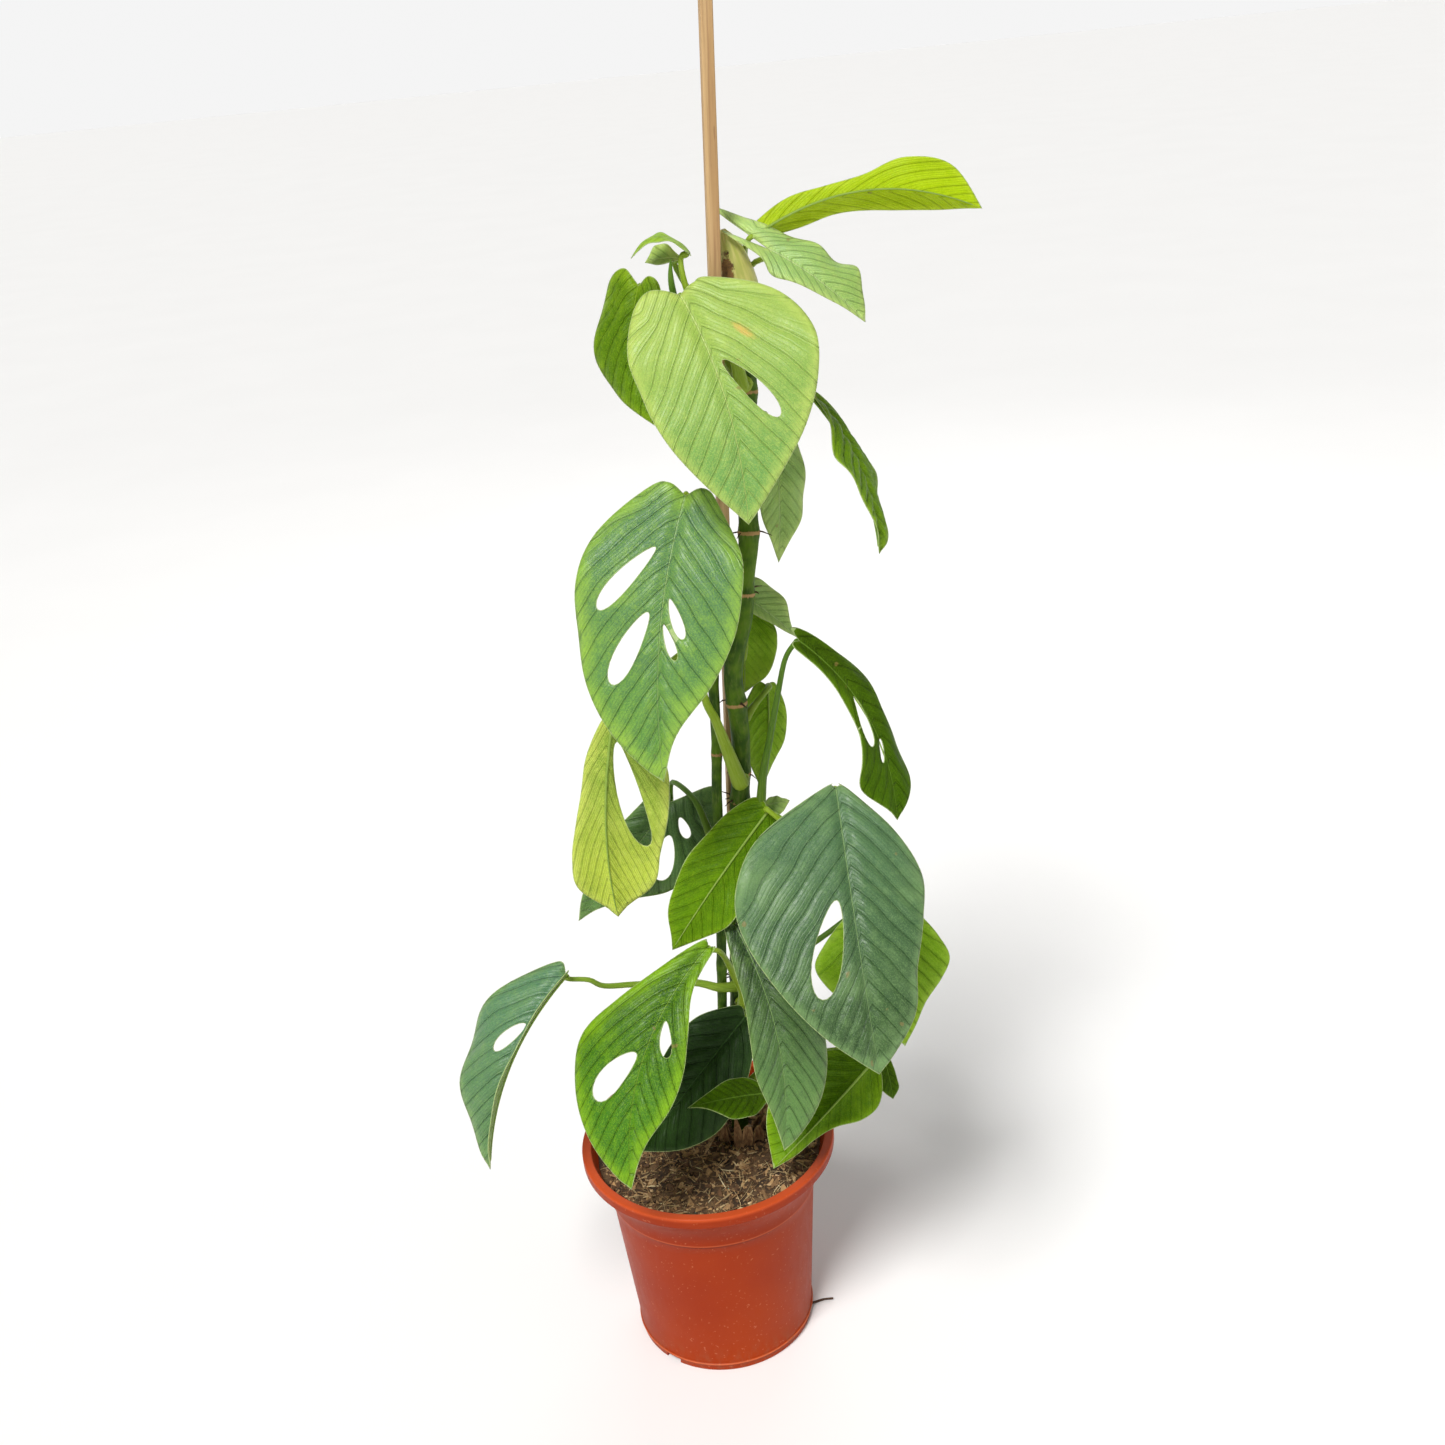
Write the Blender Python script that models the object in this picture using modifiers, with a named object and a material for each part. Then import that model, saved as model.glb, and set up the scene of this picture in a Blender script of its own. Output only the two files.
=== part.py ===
"""A climbing monstera on a square wooden stake, in a moulded nursery pot filled with bark mix.

Metres, +Z up. The origin is the centre of the pot's underside, and the plant's best side looks to -Y.
Heights of the plant count from the surface of the mix, so the plant rises and sinks with the pot.
"""
from math import cos, pi, radians, sin

import bmesh
import bpy
from mathutils import Matrix, Vector
from mathutils.geometry import interpolate_bezier

MM = 0.001
GAP = 0.0003                  # clearance between pieces that touch

# pot
POT_HEIGHT = 0.169
RIM_RADIUS = 0.095            # outside of the lip
LIP_WIDTH = 0.007             # flat top of the lip
LIP_HEIGHT = 0.0085
COLLAR_HEIGHT = 0.017         # flared collar between the lip and the wall
WALL_TOP_RADIUS = 0.0785
FOOT_RADIUS = 0.0675
FOOT_HEIGHT = 0.006
WALL = 0.0018
CHANNEL_INNER = 0.038         # the floor is raised from here out to the foot ring
DRAIN_RING = 0.050
CHANNEL_RISE = 0.0045
DRAIN_HOLE_RADIUS = 0.0045
DRAIN_HOLES = 8
NOTCHES = 3
NOTCH_WIDTH = 0.013
NOTCH_HEIGHT = 0.004
NOTCH_START = radians(-132)
POT_SEGMENTS = 32

# mix, stake and stems
MIX_DEPTH = 0.012             # from the lip down to the mix
STAKE_SIDE = 0.0075
STAKE_Y = 0.030
STAKE_HEIGHT = 0.803          # above the mix
STAKE_DEPTH = 0.140
STAKE_X = 0.029               # where it meets the mix
STAKE_LEAN = 0.056            # sideways travel for each metre of height
STAKE_TURN = radians(8)
STEM_RADIUS = 0.0072
SECOND_RADIUS = 0.0040
ROOTING_DEPTH = 0.045
CLEARANCE = 0.0008            # stem to stake

# leaves
BLADE_THICKNESS = 0.0008
CELLS_LONG = 10
CELLS_WIDE = 4
HOLE_SIDES = 10
STALK_TIP = 0.0016
STALK_FOOT = 0.0026
STALK_STEPS = 8

MIX_TOP = POT_HEIGHT - MIX_DEPTH

# The main stem: sideways place, distance behind the front line of the stake, height above the mix (mm).
MAIN_ROUTE = [(27, 0, 20), (37, 0, 149), (42, 0, 215), (49, 0, 278), (53, 0, 317), (53, 0, 345),
              (52, 0, 368), (55, 0, 387), (62, 1, 410), (66, 4, 437), (71, 8, 463), (73, 12, 489),
              (78, 18, 553), (81, 22, 581)]
SECOND_ROUTE = [(14, 10, 30), (22, 11, 120), (28, 11, 204), (33, 12, 283), (36, 14, 320),
                (38, 20, 355), (40, 28, 396)]
TIP_ROUTE = [(83, 44, 600, 10), (81, 45, 622, 11.5), (77, 45, 642, 9), (74, 45, 653, 5), (73, 45, 658, 1.5)]
SIDE_ROOT = [(50, -11, 3.2), (58, -12, 1.4), (68, -11, 1.2), (76, -9, 1.2), (84, -10, 2.0)]

# Each blade: where its stalk joins it and where its tip ends (mm, height above the mix), the way its upper
# side faces (degrees to the right of the front, degrees up), how far the midrib arches out and bows
# sideways, and the half widths at every sixth of its length, after how far the lobe reaches back.
BLADES = {
    "leaf_top_right": dict(base=(93, 38, 654), tip=(231, 26, 657), face=(180, 4), arch=4, bow=-18,
                           left=(0, 3, 7, 7, 9, 21, 21), right=(0, 3, 10, 14, 17, 17, 13), fold=(35, 30)),
    "leaf_top_inner": dict(base=(98, 25, 647), tip=(152, -1, 601), face=(10, 38), arch=6,
                           left=(26, 13, 15, 13, 10, 7, 3), right=(44, 5, 16, 21, 20, 24, 13)),
    "leaf_top_left": dict(base=(17, 52, 629), tip=(43, 4, 532), face=(-40, 12), arch=9, bow=-18,
                          left=(7, 25, 30, 32, 26, 16, 7), right=(5, 18, 26, 30, 27, 20, 9)),
    "leaf_top_front": dict(base=(41, 5, 628), tip=(66, -58, 499), face=(-5, 25), arch=10, bow=8,
                           left=(10, 34, 46, 47, 45, 37, 22), right=(3, 22, 45, 59, 57, 42, 21),
                           holes=[(69, 17, 46, 11, 30)]),
    "leaf_young_arched": dict(base=(50, 25, 649), tip=(14, 24, 649), face=(0, 75), arch=12,
                              left=(1, 3, 6, 7, 7, 5, 3), right=(1, 3, 5, 6, 6, 5, 3)),
    "leaf_young_curled": dict(base=(45, 34, 645), tip=(22, 33, 645), face=(0, 35), arch=3,
                              left=(1, 2, 5, 8, 9, 8, 4), right=(1, 1, 2, 3, 4, 4, 2)),
    "leaf_high_right": dict(base=(118, 15, 558), tip=(148, -40, 466), face=(75, 25), arch=8, bow=6,
                            left=(3, 8, 16, 26, 31, 23, 11), right=(3, 5, 12, 20, 36, 27, 17)),
    "leaf_high_back": dict(base=(96, 53, 530), tip=(91, 38, 441), face=(15, 12), arch=6,
                           left=(4, 10, 15, 16, 15, 12, 6), right=(4, 12, 17, 19, 18, 16, 7)),
    "leaf_middle_left": dict(base=(32, 0, 505), tip=(-2, -61, 337), face=(-15, 22), arch=12, bow=-7,
                             left=(5, 24, 52, 59, 56, 47, 30), right=(6, 21, 44, 49, 46, 34, 12),
                             holes=[(56, -26, 52, 12, -38), (98, -19, 50, 14, -26), (78, 10, 27, 7, 25),
                                    (93, 7, 24, 6, 24)]),
    "leaf_middle_hanging": dict(base=(-32, -2, 355), tip=(-45, 4, 206), face=(175, 2), arch=-5, bow=6,
                                left=(6, 20, 39, 43, 40, 32, 24), right=(3, 8, 15, 16, 18, 21, 16),
                                holes=[(52, -16, 84, 16, -16)]),
    "leaf_middle_dark": dict(base=(1, 55, 265), tip=(-77, 46, 180), face=(-10, 15), arch=6,
                             left=(6, 14, 17, 19, 19, 15, 9), right=(28, 40, 45, 43, 36, 19, 6),
                             holes=[(35, 21, 34, 15, 24), (9, 19, 16, 7, 60)]),
    "leaf_low_inner": dict(base=(67, 0, 276), tip=(-9, -17, 186), face=(160, -25), arch=-8,
                           left=(3, 14, 20, 22, 25, 24, 13), right=(4, 16, 23, 25, 26, 24, 17)),
    "leaf_low_front": dict(base=(109, -45, 311), tip=(112, -152, 160), face=(12, 35), arch=15, bow=-5,
                           left=(1, 6, 54, 73, 71, 56, 33), right=(1, 5, 34, 49, 49, 38, 28),
                           holes=[(104, -21, 65, 20, -18)]),
    "leaf_low_right": dict(base=(162, 30, 150), tip=(151, -17, 80), face=(35, 25), arch=8,
                           left=(3, 8, 13, 16, 16, 12, 7), right=(4, 20, 33, 30, 20, 11, 4)),
    "leaf_low_small_right": dict(base=(137, 20, 58), tip=(143, 6, 17), face=(20, 20), arch=3,
                                 left=(1, 3, 5, 8, 10, 10, 6), right=(1, 3, 4, 5, 6, 6, 6)),
    "leaf_low_under": dict(base=(124, -15, 67), tip=(44, -65, 25), face=(-170, -40), arch=-8,
                           left=(3, 13, 24, 22, 12, 7, 5), right=(3, 16, 31, 39, 39, 37, 25)),
    "leaf_low_centre": dict(base=(35, -25, 205), tip=(51, -98, 65), face=(5, 28), arch=12, bow=11,
                            left=(2, 8, 14, 16, 19, 19, 10), right=(2, 8, 17, 25, 32, 31, 20)),
    "leaf_front_left": dict(base=(15, -45, 202), tip=(-55, -120, 67), face=(-20, 35), arch=14, bow=-16,
                            left=(2, 6, 18, 33, 48, 44, 27), right=(2, 5, 11, 24, 30, 27, 12),
                            holes=[(99, -16, 41, 16, -32), (66, 11, 25, 8, 26)]),
    "leaf_far_left": dict(base=(-85, -30, 184), tip=(-152, -82, 68), face=(-35, 35), arch=14, bow=-7,
                          left=(5, 14, 32, 41, 41, 35, 16), right=(3, 8, 18, 22, 22, 17, 8), fold=(0, 60),
                          holes=[(53, -9, 28, 9, -26)]),
    "leaf_low_dark": dict(base=(37, 0, 112), tip=(-50, -46, 39), face=(-10, 36), arch=4,
                          left=(4, 12, 26, 30, 28, 22, 14), right=(4, 12, 23, 32, 36, 34, 23)),
    "leaf_low_small": dict(base=(43, -37, 70), tip=(-12, -64, 86), face=(-15, 50), arch=4,
                           left=(2, 7, 14, 14, 12, 8, 4), right=(2, 7, 14, 16, 15, 10, 3)),
    "leaf_back_upper": dict(base=(56, 44, 426), tip=(99, 36, 388), face=(20, 30), arch=6,
                            left=(2, 4, 5, 5, 4, 3, 2), right=(2, 6, 10, 12, 11, 9, 3)),
    "leaf_middle_right": dict(base=(96, -10, 403), tip=(150, -40, 279), face=(40, 25), arch=8, bow=14,
                              left=(3, 8, 10, 13, 17, 17, 11), right=(3, 8, 12, 21, 16, 16, 20),
                              holes=[(68, -6, 36, 9, -15), (92, -2, 16, 5, -22)]),
    "leaf_back_middle": dict(base=(67, 48, 406), tip=(61, 44, 349), face=(170, -5), arch=-5,
                             left=(3, 10, 19, 20, 19, 17, 12), right=(3, 8, 12, 13, 12, 9, 5)),
    "leaf_back_lower": dict(base=(76, 45, 351), tip=(65, 37, 276), face=(-160, -5), arch=-6,
                            left=(2, 7, 11, 14, 12, 8, 4), right=(3, 9, 16, 17, 16, 13, 7)),
    "leaf_middle_round": dict(base=(68, 30, 266), tip=(85, 31, 267), face=(0, 30), arch=2,
                              left=(1, 6, 9, 9, 8, 6, 3), right=(1, 3, 5, 5, 5, 3, 2)),
}

# Each stalk: the stem that it leaves, its height there, the side that it leaves to (degrees to the right of
# the front), and the places that it passes when it doesn't rise in one plain curve (mm).
STALKS = {
    "leaf_top_right": ("main", 555, 50, [(97, 38, 600), (97, 41, 636)]),
    "leaf_top_inner": ("main", 530, 60, [(98, 26, 575), (104, 32, 625)]),
    "leaf_top_left": ("main", 560, -130, []),
    "leaf_top_front": ("main", 520, -50, []),
    "leaf_young_arched": ("main", 565, -25, [(70, 19, 588), (54, 17, 606), (46, 20, 628)]),
    "leaf_young_curled": ("main", 572, -110, [(50, 40, 620)]),
    "leaf_high_right": ("main", 500, 70, []),
    "leaf_high_back": ("main", 536, 110, [(88, 44, 549), (95, 59, 543)]),
    "leaf_middle_left": ("main", 298, -10, [(43, 3, 324), (37, 1, 348), (31, 5, 366), (30, 8, 410),
                                            (34, 10, 460)]),
    "leaf_middle_hanging": ("second", 385, -90, []),
    "leaf_middle_dark": ("second", 255, -130, [(18, 30, 276), (4, 62, 277)]),
    "leaf_low_inner": ("main", 246, 80, [(74, 10, 256), (84, 0, 262), (77, -9, 270)]),
    "leaf_low_front": ("main", 220, 95, [(72, 10, 235), (98, -14, 275)]),
    "leaf_low_right": ("main", 125, 90, []),
    "leaf_low_small_right": ("main", 35, 90, []),
    "leaf_low_under": ("main", 75, 60, [(88, -6, 92), (116, -16, 82)]),
    "leaf_low_centre": ("main", 175, 10, []),
    "leaf_front_left": ("main", 118, 15, [(37, 0, 134), (32, -10, 153), (27, -22, 175), (22, -36, 192)]),
    "leaf_far_left": ("main", 133, -15, [(20, 2, 138), (2, 0, 146), (-38, -12, 158), (-60, -20, 165),
                                        (-70, -24, 174)]),
    "leaf_low_dark": ("main", 90, 0, []),
    "leaf_low_small": ("main", 40, 10, []),
    "leaf_back_upper": ("main", 430, 70, [(79, 36, 437), (66, 52, 432)]),
    "leaf_middle_right": ("main", 258, 70, [(62, 10, 275), (66, 8, 301), (72, 4, 328), (80, 0, 363),
                                            (86, -4, 388)]),
    "leaf_back_middle": ("main", 382, 120, []),
    "leaf_back_lower": ("main", 338, 110, []),
    "leaf_middle_round": ("main", 245, 110, []),
}


def clear_scene():
    for item in list(bpy.data.objects):
        bpy.data.objects.remove(item)


def make_collection(name):
    collection = bpy.data.collections.new(name)
    bpy.context.scene.collection.children.link(collection)
    return collection


def material(name, colour, roughness):
    finish = bpy.data.materials.new(name)
    finish.use_nodes = True
    shader = finish.node_tree.nodes["Principled BSDF"]
    shader.inputs["Base Color"].default_value = (*colour, 1)
    shader.inputs["Roughness"].default_value = roughness
    shader.inputs["Metallic"].default_value = 0
    return finish


def add(name, mesh, finish, collection, smooth=True):
    item = bpy.data.objects.new(name, mesh)
    collection.objects.link(item)
    if finish:
        mesh.materials.append(finish)
    if smooth:
        mesh.shade_smooth()
        mesh.set_sharp_from_angle(angle=radians(40))
    return item


def as_cutter(item):
    item.hide_render = True
    item.display_type = "WIRE"
    return item


def cut(item, cutter):
    modifier = item.modifiers.new("Cut", "BOOLEAN")
    modifier.operation = "DIFFERENCE"
    modifier.object = cutter


def smooth_route(points, steps):
    """A smooth curve through the points, with `steps` short runs between each two of them."""
    ends = [2 * points[0] - points[1], *points, 2 * points[-1] - points[-2]]
    route = []
    for before, start, end, after in zip(ends, ends[1:], ends[2:], ends[3:]):
        for i in range(steps):
            t = i / steps
            bend = 2 * before - 5 * start + 4 * end - after
            twist = 3 * start - before - 3 * end + after
            route.append(start + 0.5 * ((end - before) * t + bend * t ** 2 + twist * t ** 3))
    return route + [points[-1]]


def turned(name, profile, finish, collection):
    """A profile of (radius, height) turned round the Z axis. It runs down its outer side."""
    mesh = bpy.data.meshes.new(name)
    points = [(radius, 0, height) for radius, height in profile]
    mesh.from_pydata(points, [(i, i + 1) for i in range(len(points) - 1)], [])
    item = add(name, mesh, finish, collection, smooth=False)
    screw = item.modifiers.new("Turn", "SCREW")
    screw.steps = screw.render_steps = POT_SEGMENTS
    screw.use_merge_vertices = True
    screw.merge_threshold = 0.00001
    screw.use_smooth_shade = True
    return item


def tube(name, points, radii, finish, collection):
    """A round bar along the points, with its own radius at each."""
    curve = bpy.data.curves.new(name, "CURVE")
    curve.dimensions = "3D"
    curve.render_resolution_u = 0
    curve.bevel_depth = 1.0
    curve.bevel_resolution = 2
    curve.use_fill_caps = True
    spline = curve.splines.new("POLY")
    spline.points.add(len(points) - 1)
    for knot, place, radius in zip(spline.points, points, radii):
        knot.co = (*place, 1)
        knot.radius = radius
    item = bpy.data.objects.new(name, curve)
    collection.objects.link(item)
    if finish:
        curve.materials.append(finish)
    return item


def as_mesh(item):
    """Turns a curve object into a mesh object of the same name, with its caps welded on."""
    bpy.context.view_layer.update()
    mesh = bpy.data.meshes.new_from_object(item.evaluated_get(bpy.context.evaluated_depsgraph_get()))
    shape = bmesh.new()
    shape.from_mesh(mesh)
    bmesh.ops.remove_doubles(shape, verts=shape.verts, dist=0.00001)
    shape.to_mesh(mesh)
    shape.free()
    name = item.name
    collection = item.users_collection[0]
    solid = bpy.data.objects.new(name, mesh)
    solid.matrix_world = item.matrix_world
    bpy.data.objects.remove(item)
    solid.name = name
    collection.objects.link(solid)
    return solid


def above_mix(point):
    x, y, height = point
    return Vector((x * MM, y * MM, MIX_TOP + height * MM))


def stake_centre(height):
    return Vector((STAKE_X + STAKE_LEAN * height, STAKE_Y, MIX_TOP + height))


def wall_radius(height):
    """Outer radius of the tapered wall at a height over the ground."""
    top = POT_HEIGHT - LIP_HEIGHT - COLLAR_HEIGHT
    share = (height - FOOT_HEIGHT) / (top - FOOT_HEIGHT)
    return FOOT_RADIUS + (WALL_TOP_RADIUS - FOOT_RADIUS) * share


def pot_outside():
    """Outer profile of the pot from the lip's inner edge down to the ground."""
    lip_foot = POT_HEIGHT - LIP_HEIGHT
    wall_top = lip_foot - COLLAR_HEIGHT
    shoulder = WALL_TOP_RADIUS + 0.002
    flare = RIM_RADIUS - 0.0035 - shoulder
    collar = []
    for i in range(5):
        t = i / 4
        collar.append((shoulder + flare * (1 - t) ** 1.7, lip_foot - COLLAR_HEIGHT * t * 0.96))
    lip = [(RIM_RADIUS - 0.0008, POT_HEIGHT), (RIM_RADIUS, POT_HEIGHT - 0.001), (RIM_RADIUS - 0.0004, lip_foot)]
    return [*lip, *collar, (WALL_TOP_RADIUS, wall_top), (FOOT_RADIUS, FOOT_HEIGHT + 0.0015),
            (FOOT_RADIUS + 0.0009, FOOT_HEIGHT + 0.0004), (FOOT_RADIUS + 0.0009, FOOT_HEIGHT - 0.0004),
            (FOOT_RADIUS, FOOT_HEIGHT - 0.001), (FOOT_RADIUS, 0)]


def floor_top():
    """Upper surface of the pot's floor, from the middle out to the wall."""
    level = WALL + CHANNEL_RISE
    return [(0, WALL), (CHANNEL_INNER - WALL, WALL), (CHANNEL_INNER, level), (wall_radius(level) - WALL, level)]


def floor_underside():
    """Lower surface of the pot's floor, from the foot ring inwards."""
    return [(FOOT_RADIUS - WALL, 0), (FOOT_RADIUS - WALL, CHANNEL_RISE), (CHANNEL_INNER + WALL, CHANNEL_RISE),
            (CHANNEL_INNER, 0), (0, 0)]


def pot_inside():
    """Inner profile of the pot from the floor up to the lip, a wall's thickness inside the outer one."""
    wall_top = POT_HEIGHT - LIP_HEIGHT - COLLAR_HEIGHT
    lip_inner = RIM_RADIUS - LIP_WIDTH
    return [(wall_radius(wall_top) - WALL, wall_top),
            ((WALL_TOP_RADIUS + lip_inner) / 2 - WALL / 2, wall_top + COLLAR_HEIGHT * 0.55),
            (lip_inner - 0.001, POT_HEIGHT - LIP_HEIGHT * 0.7), (lip_inner, POT_HEIGHT - 0.0006),
            (lip_inner + 0.001, POT_HEIGHT)]


def make_pot(finish, parts, cutters):
    profile = floor_top() + pot_inside() + pot_outside() + floor_underside()
    pot = turned("pot", profile, finish, parts)
    shape = bmesh.new()
    for i in range(DRAIN_HOLES):
        angle = 2 * pi * i / DRAIN_HOLES
        place = Matrix.Translation((DRAIN_RING * cos(angle), DRAIN_RING * sin(angle), CHANNEL_RISE))
        bmesh.ops.create_cone(shape, cap_ends=True, segments=10, radius1=DRAIN_HOLE_RADIUS,
                              radius2=DRAIN_HOLE_RADIUS, depth=6 * WALL, matrix=place)
    for i in range(NOTCHES):
        angle = NOTCH_START + 2 * pi * i / NOTCHES
        size = Matrix.Diagonal((6 * WALL, NOTCH_WIDTH, 2 * NOTCH_HEIGHT, 1))
        place = Matrix.Rotation(angle, 4, "Z") @ Matrix.Translation((FOOT_RADIUS, 0, 0)) @ size
        bmesh.ops.create_cube(shape, size=1, matrix=place)
    mesh = bpy.data.meshes.new("pot_cuts")
    shape.to_mesh(mesh)
    shape.free()
    cut(pot, as_cutter(add("pot_cuts", mesh, None, cutters, smooth=False)))
    return pot


def mix_profile():
    """The mix fills the pot, a gap inside its wall and over its floor."""
    profile = [(0, MIX_TOP + 0.002), (0.030, MIX_TOP + 0.0012)]
    wall_top = POT_HEIGHT - LIP_HEIGHT - COLLAR_HEIGHT
    level = WALL + CHANNEL_RISE + GAP
    collar_radius = (WALL_TOP_RADIUS + RIM_RADIUS - LIP_WIDTH) / 2 - WALL / 2
    collar_height = wall_top + COLLAR_HEIGHT * 0.55
    share = (MIX_TOP - collar_height) / (POT_HEIGHT - LIP_HEIGHT * 0.7 - collar_height)
    edge = collar_radius + (RIM_RADIUS - LIP_WIDTH - 0.001 - collar_radius) * share
    clear = 2 * GAP
    profile += [(edge - clear, MIX_TOP), (collar_radius - clear, collar_height),
                (wall_radius(wall_top) - WALL - clear, wall_top), (wall_radius(level) - WALL - clear, level),
                (CHANNEL_INNER - clear, level), (CHANNEL_INNER - WALL - clear, WALL + GAP), (0, WALL + GAP)]
    return profile


def stake_matrix():
    low = stake_centre(-STAKE_DEPTH)
    high = stake_centre(STAKE_HEIGHT)
    lean = (high - low).to_track_quat("Z", "Y").to_matrix().to_4x4()
    turn = Matrix.Rotation(STAKE_TURN, 4, "Z")
    return Matrix.Translation((low + high) / 2) @ lean @ turn, (high - low).length


def make_stake(name, side, finish, collection):
    place, length = stake_matrix()
    shape = bmesh.new()
    bmesh.ops.create_cube(shape, size=1, matrix=Matrix.Diagonal((side, side, length, 1)))
    bmesh.ops.bevel(shape, geom=shape.edges[:], offset=0.0006, segments=1, affect="EDGES")
    mesh = bpy.data.meshes.new(name)
    shape.to_mesh(mesh)
    shape.free()
    item = add(name, mesh, finish, collection, smooth=False)
    item.matrix_world = place
    return item


def main_points():
    """The main stem climbs in front of the stake, and only its upper part moves out beside it."""
    front = STAKE_Y - STAKE_SIDE / 2 - STEM_RADIUS - CLEARANCE
    points = [Vector((x * MM, front + back * MM, MIX_TOP + height * MM)) for x, back, height in MAIN_ROUTE]
    root = points[0] - (points[1] - points[0]).normalized() * (ROOTING_DEPTH + MAIN_ROUTE[0][2] * MM)
    return [root] + points


def second_points():
    points = [above_mix(point) for point in SECOND_ROUTE]
    root = points[0] - (points[1] - points[0]).normalized() * (ROOTING_DEPTH + SECOND_ROUTE[0][2] * MM)
    return [root] + points


STEMS = {"main": (main_points, STEM_RADIUS), "second": (second_points, SECOND_RADIUS)}


def stem_centre(stem, height):
    """The middle of a stem at a height over the mix (metres)."""
    route = STEMS[stem][0]()
    level = MIX_TOP + height
    for low, high in zip(route, route[1:]):
        if low.z <= level <= high.z:
            return low.lerp(high, (level - low.z) / (high.z - low.z))
    return route[-1]


class Blade:
    """The curved surface of one leaf: x runs from its stalk to its tip, y across it, both in metres."""

    def __init__(self, base, tip, face, left, right, arch=0, bow=0, fold=(0, 0), holes=()):
        self.base = above_mix(base)
        chord = above_mix(tip) - self.base
        self.length = chord.length
        self.along = chord.normalized()
        turn, rise = radians(face[0]), radians(face[1])
        facing = Vector((sin(turn) * cos(rise), -cos(turn) * cos(rise), sin(rise)))
        self.up = (facing - self.along * facing.dot(self.along)).normalized()
        self.side = self.up.cross(self.along)
        self.bulge = self.up * arch * MM + self.side * bow * MM
        self.fold = [radians(angle) for angle in fold]
        self.widths = (left, right)
        self.lobed = left[0] > 0
        self.holes = holes

    def frame(self, x):
        """Point on the midrib, its direction, the way out of the upper side, and the way to the right."""
        t = x / self.length
        if t < 0:
            slope = self.along * self.length + 4 * self.bulge
            centre = self.base + slope * t
        else:
            slope = self.along * self.length + 4 * (1 - 2 * t) * self.bulge
            centre = self.base + self.along * x + 4 * t * (1 - t) * self.bulge
        forward = slope.normalized()
        up = (self.up - forward * self.up.dot(forward)).normalized()
        return centre, forward, up, up.cross(forward)

    def point(self, x, y):
        centre, forward, up, side = self.frame(x)
        angle = self.fold[1 if y > 0 else 0]
        return centre + side * y * cos(angle) + up * abs(y) * sin(angle)

    def edge(self, hand, share):
        """Outline of one half (0 left, 1 right), from the stalk round the lobe to the tip."""
        lobe, shoulder, *widths = [width * MM for width in self.widths[hand]]
        sixth = self.length / 6
        knots = [(0, 0), (-lobe, shoulder / 2), (0, shoulder)]
        knots += [(sixth * (i + 1), width) for i, width in enumerate(widths)] + [(self.length, 0)]
        steps = 4
        line = smooth_route([Vector(knot) for knot in knots], steps)
        place = share * (len(line) - 1)
        low = min(int(place), len(line) - 2)
        return line[low].lerp(line[low + 1], place - low)


def make_blade(name, blade, finish, parts, cutters):
    shape = bmesh.new()
    bmesh.ops.create_grid(shape, x_segments=CELLS_LONG, y_segments=CELLS_WIDE, size=1)
    for vertex in shape.verts:
        share = (vertex.co.x + 1) / 2
        out = vertex.co.y
        hand = 1 if out > 0 else 0
        edge = blade.edge(hand, share)
        rib = blade.length * share ** 2
        x = rib + (edge.x - rib) * abs(out)
        y = edge.y * out
        vertex.co = blade.point(x, y)
    bmesh.ops.remove_doubles(shape, verts=shape.verts, dist=0.0001)
    mesh = bpy.data.meshes.new(name)
    shape.to_mesh(mesh)
    shape.free()
    item = add(name, mesh, finish, parts)
    skin = item.modifiers.new("Thickness", "SOLIDIFY")
    skin.thickness = BLADE_THICKNESS
    skin.offset = 0
    if blade.holes:
        cut(item, make_holes(name, blade, cutters))
    return item


def make_holes(name, blade, cutters):
    """Oval punches through a blade: each is placed along and across it, with length, width and turn."""
    shape = bmesh.new()
    for x, y, length, width, turn in blade.holes:
        centre = blade.point(x * MM, y * MM)
        _, forward, up, side = blade.frame(x * MM)
        axes = Matrix((forward, side, up)).transposed().to_4x4()
        size = Matrix.Diagonal((length * MM / 2, width * MM / 2, 1, 1))
        place = Matrix.Translation(centre) @ axes @ Matrix.Rotation(radians(turn), 4, "Z") @ size
        bmesh.ops.create_cone(shape, cap_ends=True, segments=HOLE_SIDES, radius1=1, radius2=1,
                              depth=0.03, matrix=place)
    bmesh.ops.recalc_face_normals(shape, faces=shape.faces)
    mesh = bpy.data.meshes.new(name + "_holes")
    shape.to_mesh(mesh)
    shape.free()
    return as_cutter(add(name + "_holes", mesh, None, cutters, smooth=False))


def stalk_route(blade, stem, height, side, passes):
    """From the stem's skin out and up, then into the back of a lobed blade, or into line with a plain one."""
    turn = radians(side)
    out = Vector((sin(turn), -cos(turn), 0))
    start = stem_centre(stem, height * MM) + out * (STEMS[stem][1] + STALK_FOOT + 2 * GAP)
    _, way, up, _ = blade.frame(0)
    if blade.lobed:
        way = up
        end = blade.base - up * (BLADE_THICKNESS / 2 + 3 * GAP)
    else:
        end = blade.base - way * 3 * GAP
    reach = (end - start).length
    if passes:
        points = [start] + [above_mix(place) for place in passes] + [end - way * 0.006, end]
        return smooth_route(points, 2)
    first = start + (out * 0.35 + Vector((0, 0, 0.65))) * reach * 0.5
    second = end - way * reach * 0.35
    return interpolate_bezier(start, first, second, end, STALK_STEPS + 1)


def make_stalk(leaf, blade, finish, parts):
    route = stalk_route(blade, *STALKS[leaf])
    last = len(route) - 1
    radii = [STALK_FOOT + (STALK_TIP - STALK_FOOT) * i / last for i in range(last + 1)]
    return tube(leaf.replace("leaf", "stalk"), route, radii, finish, parts)


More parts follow.
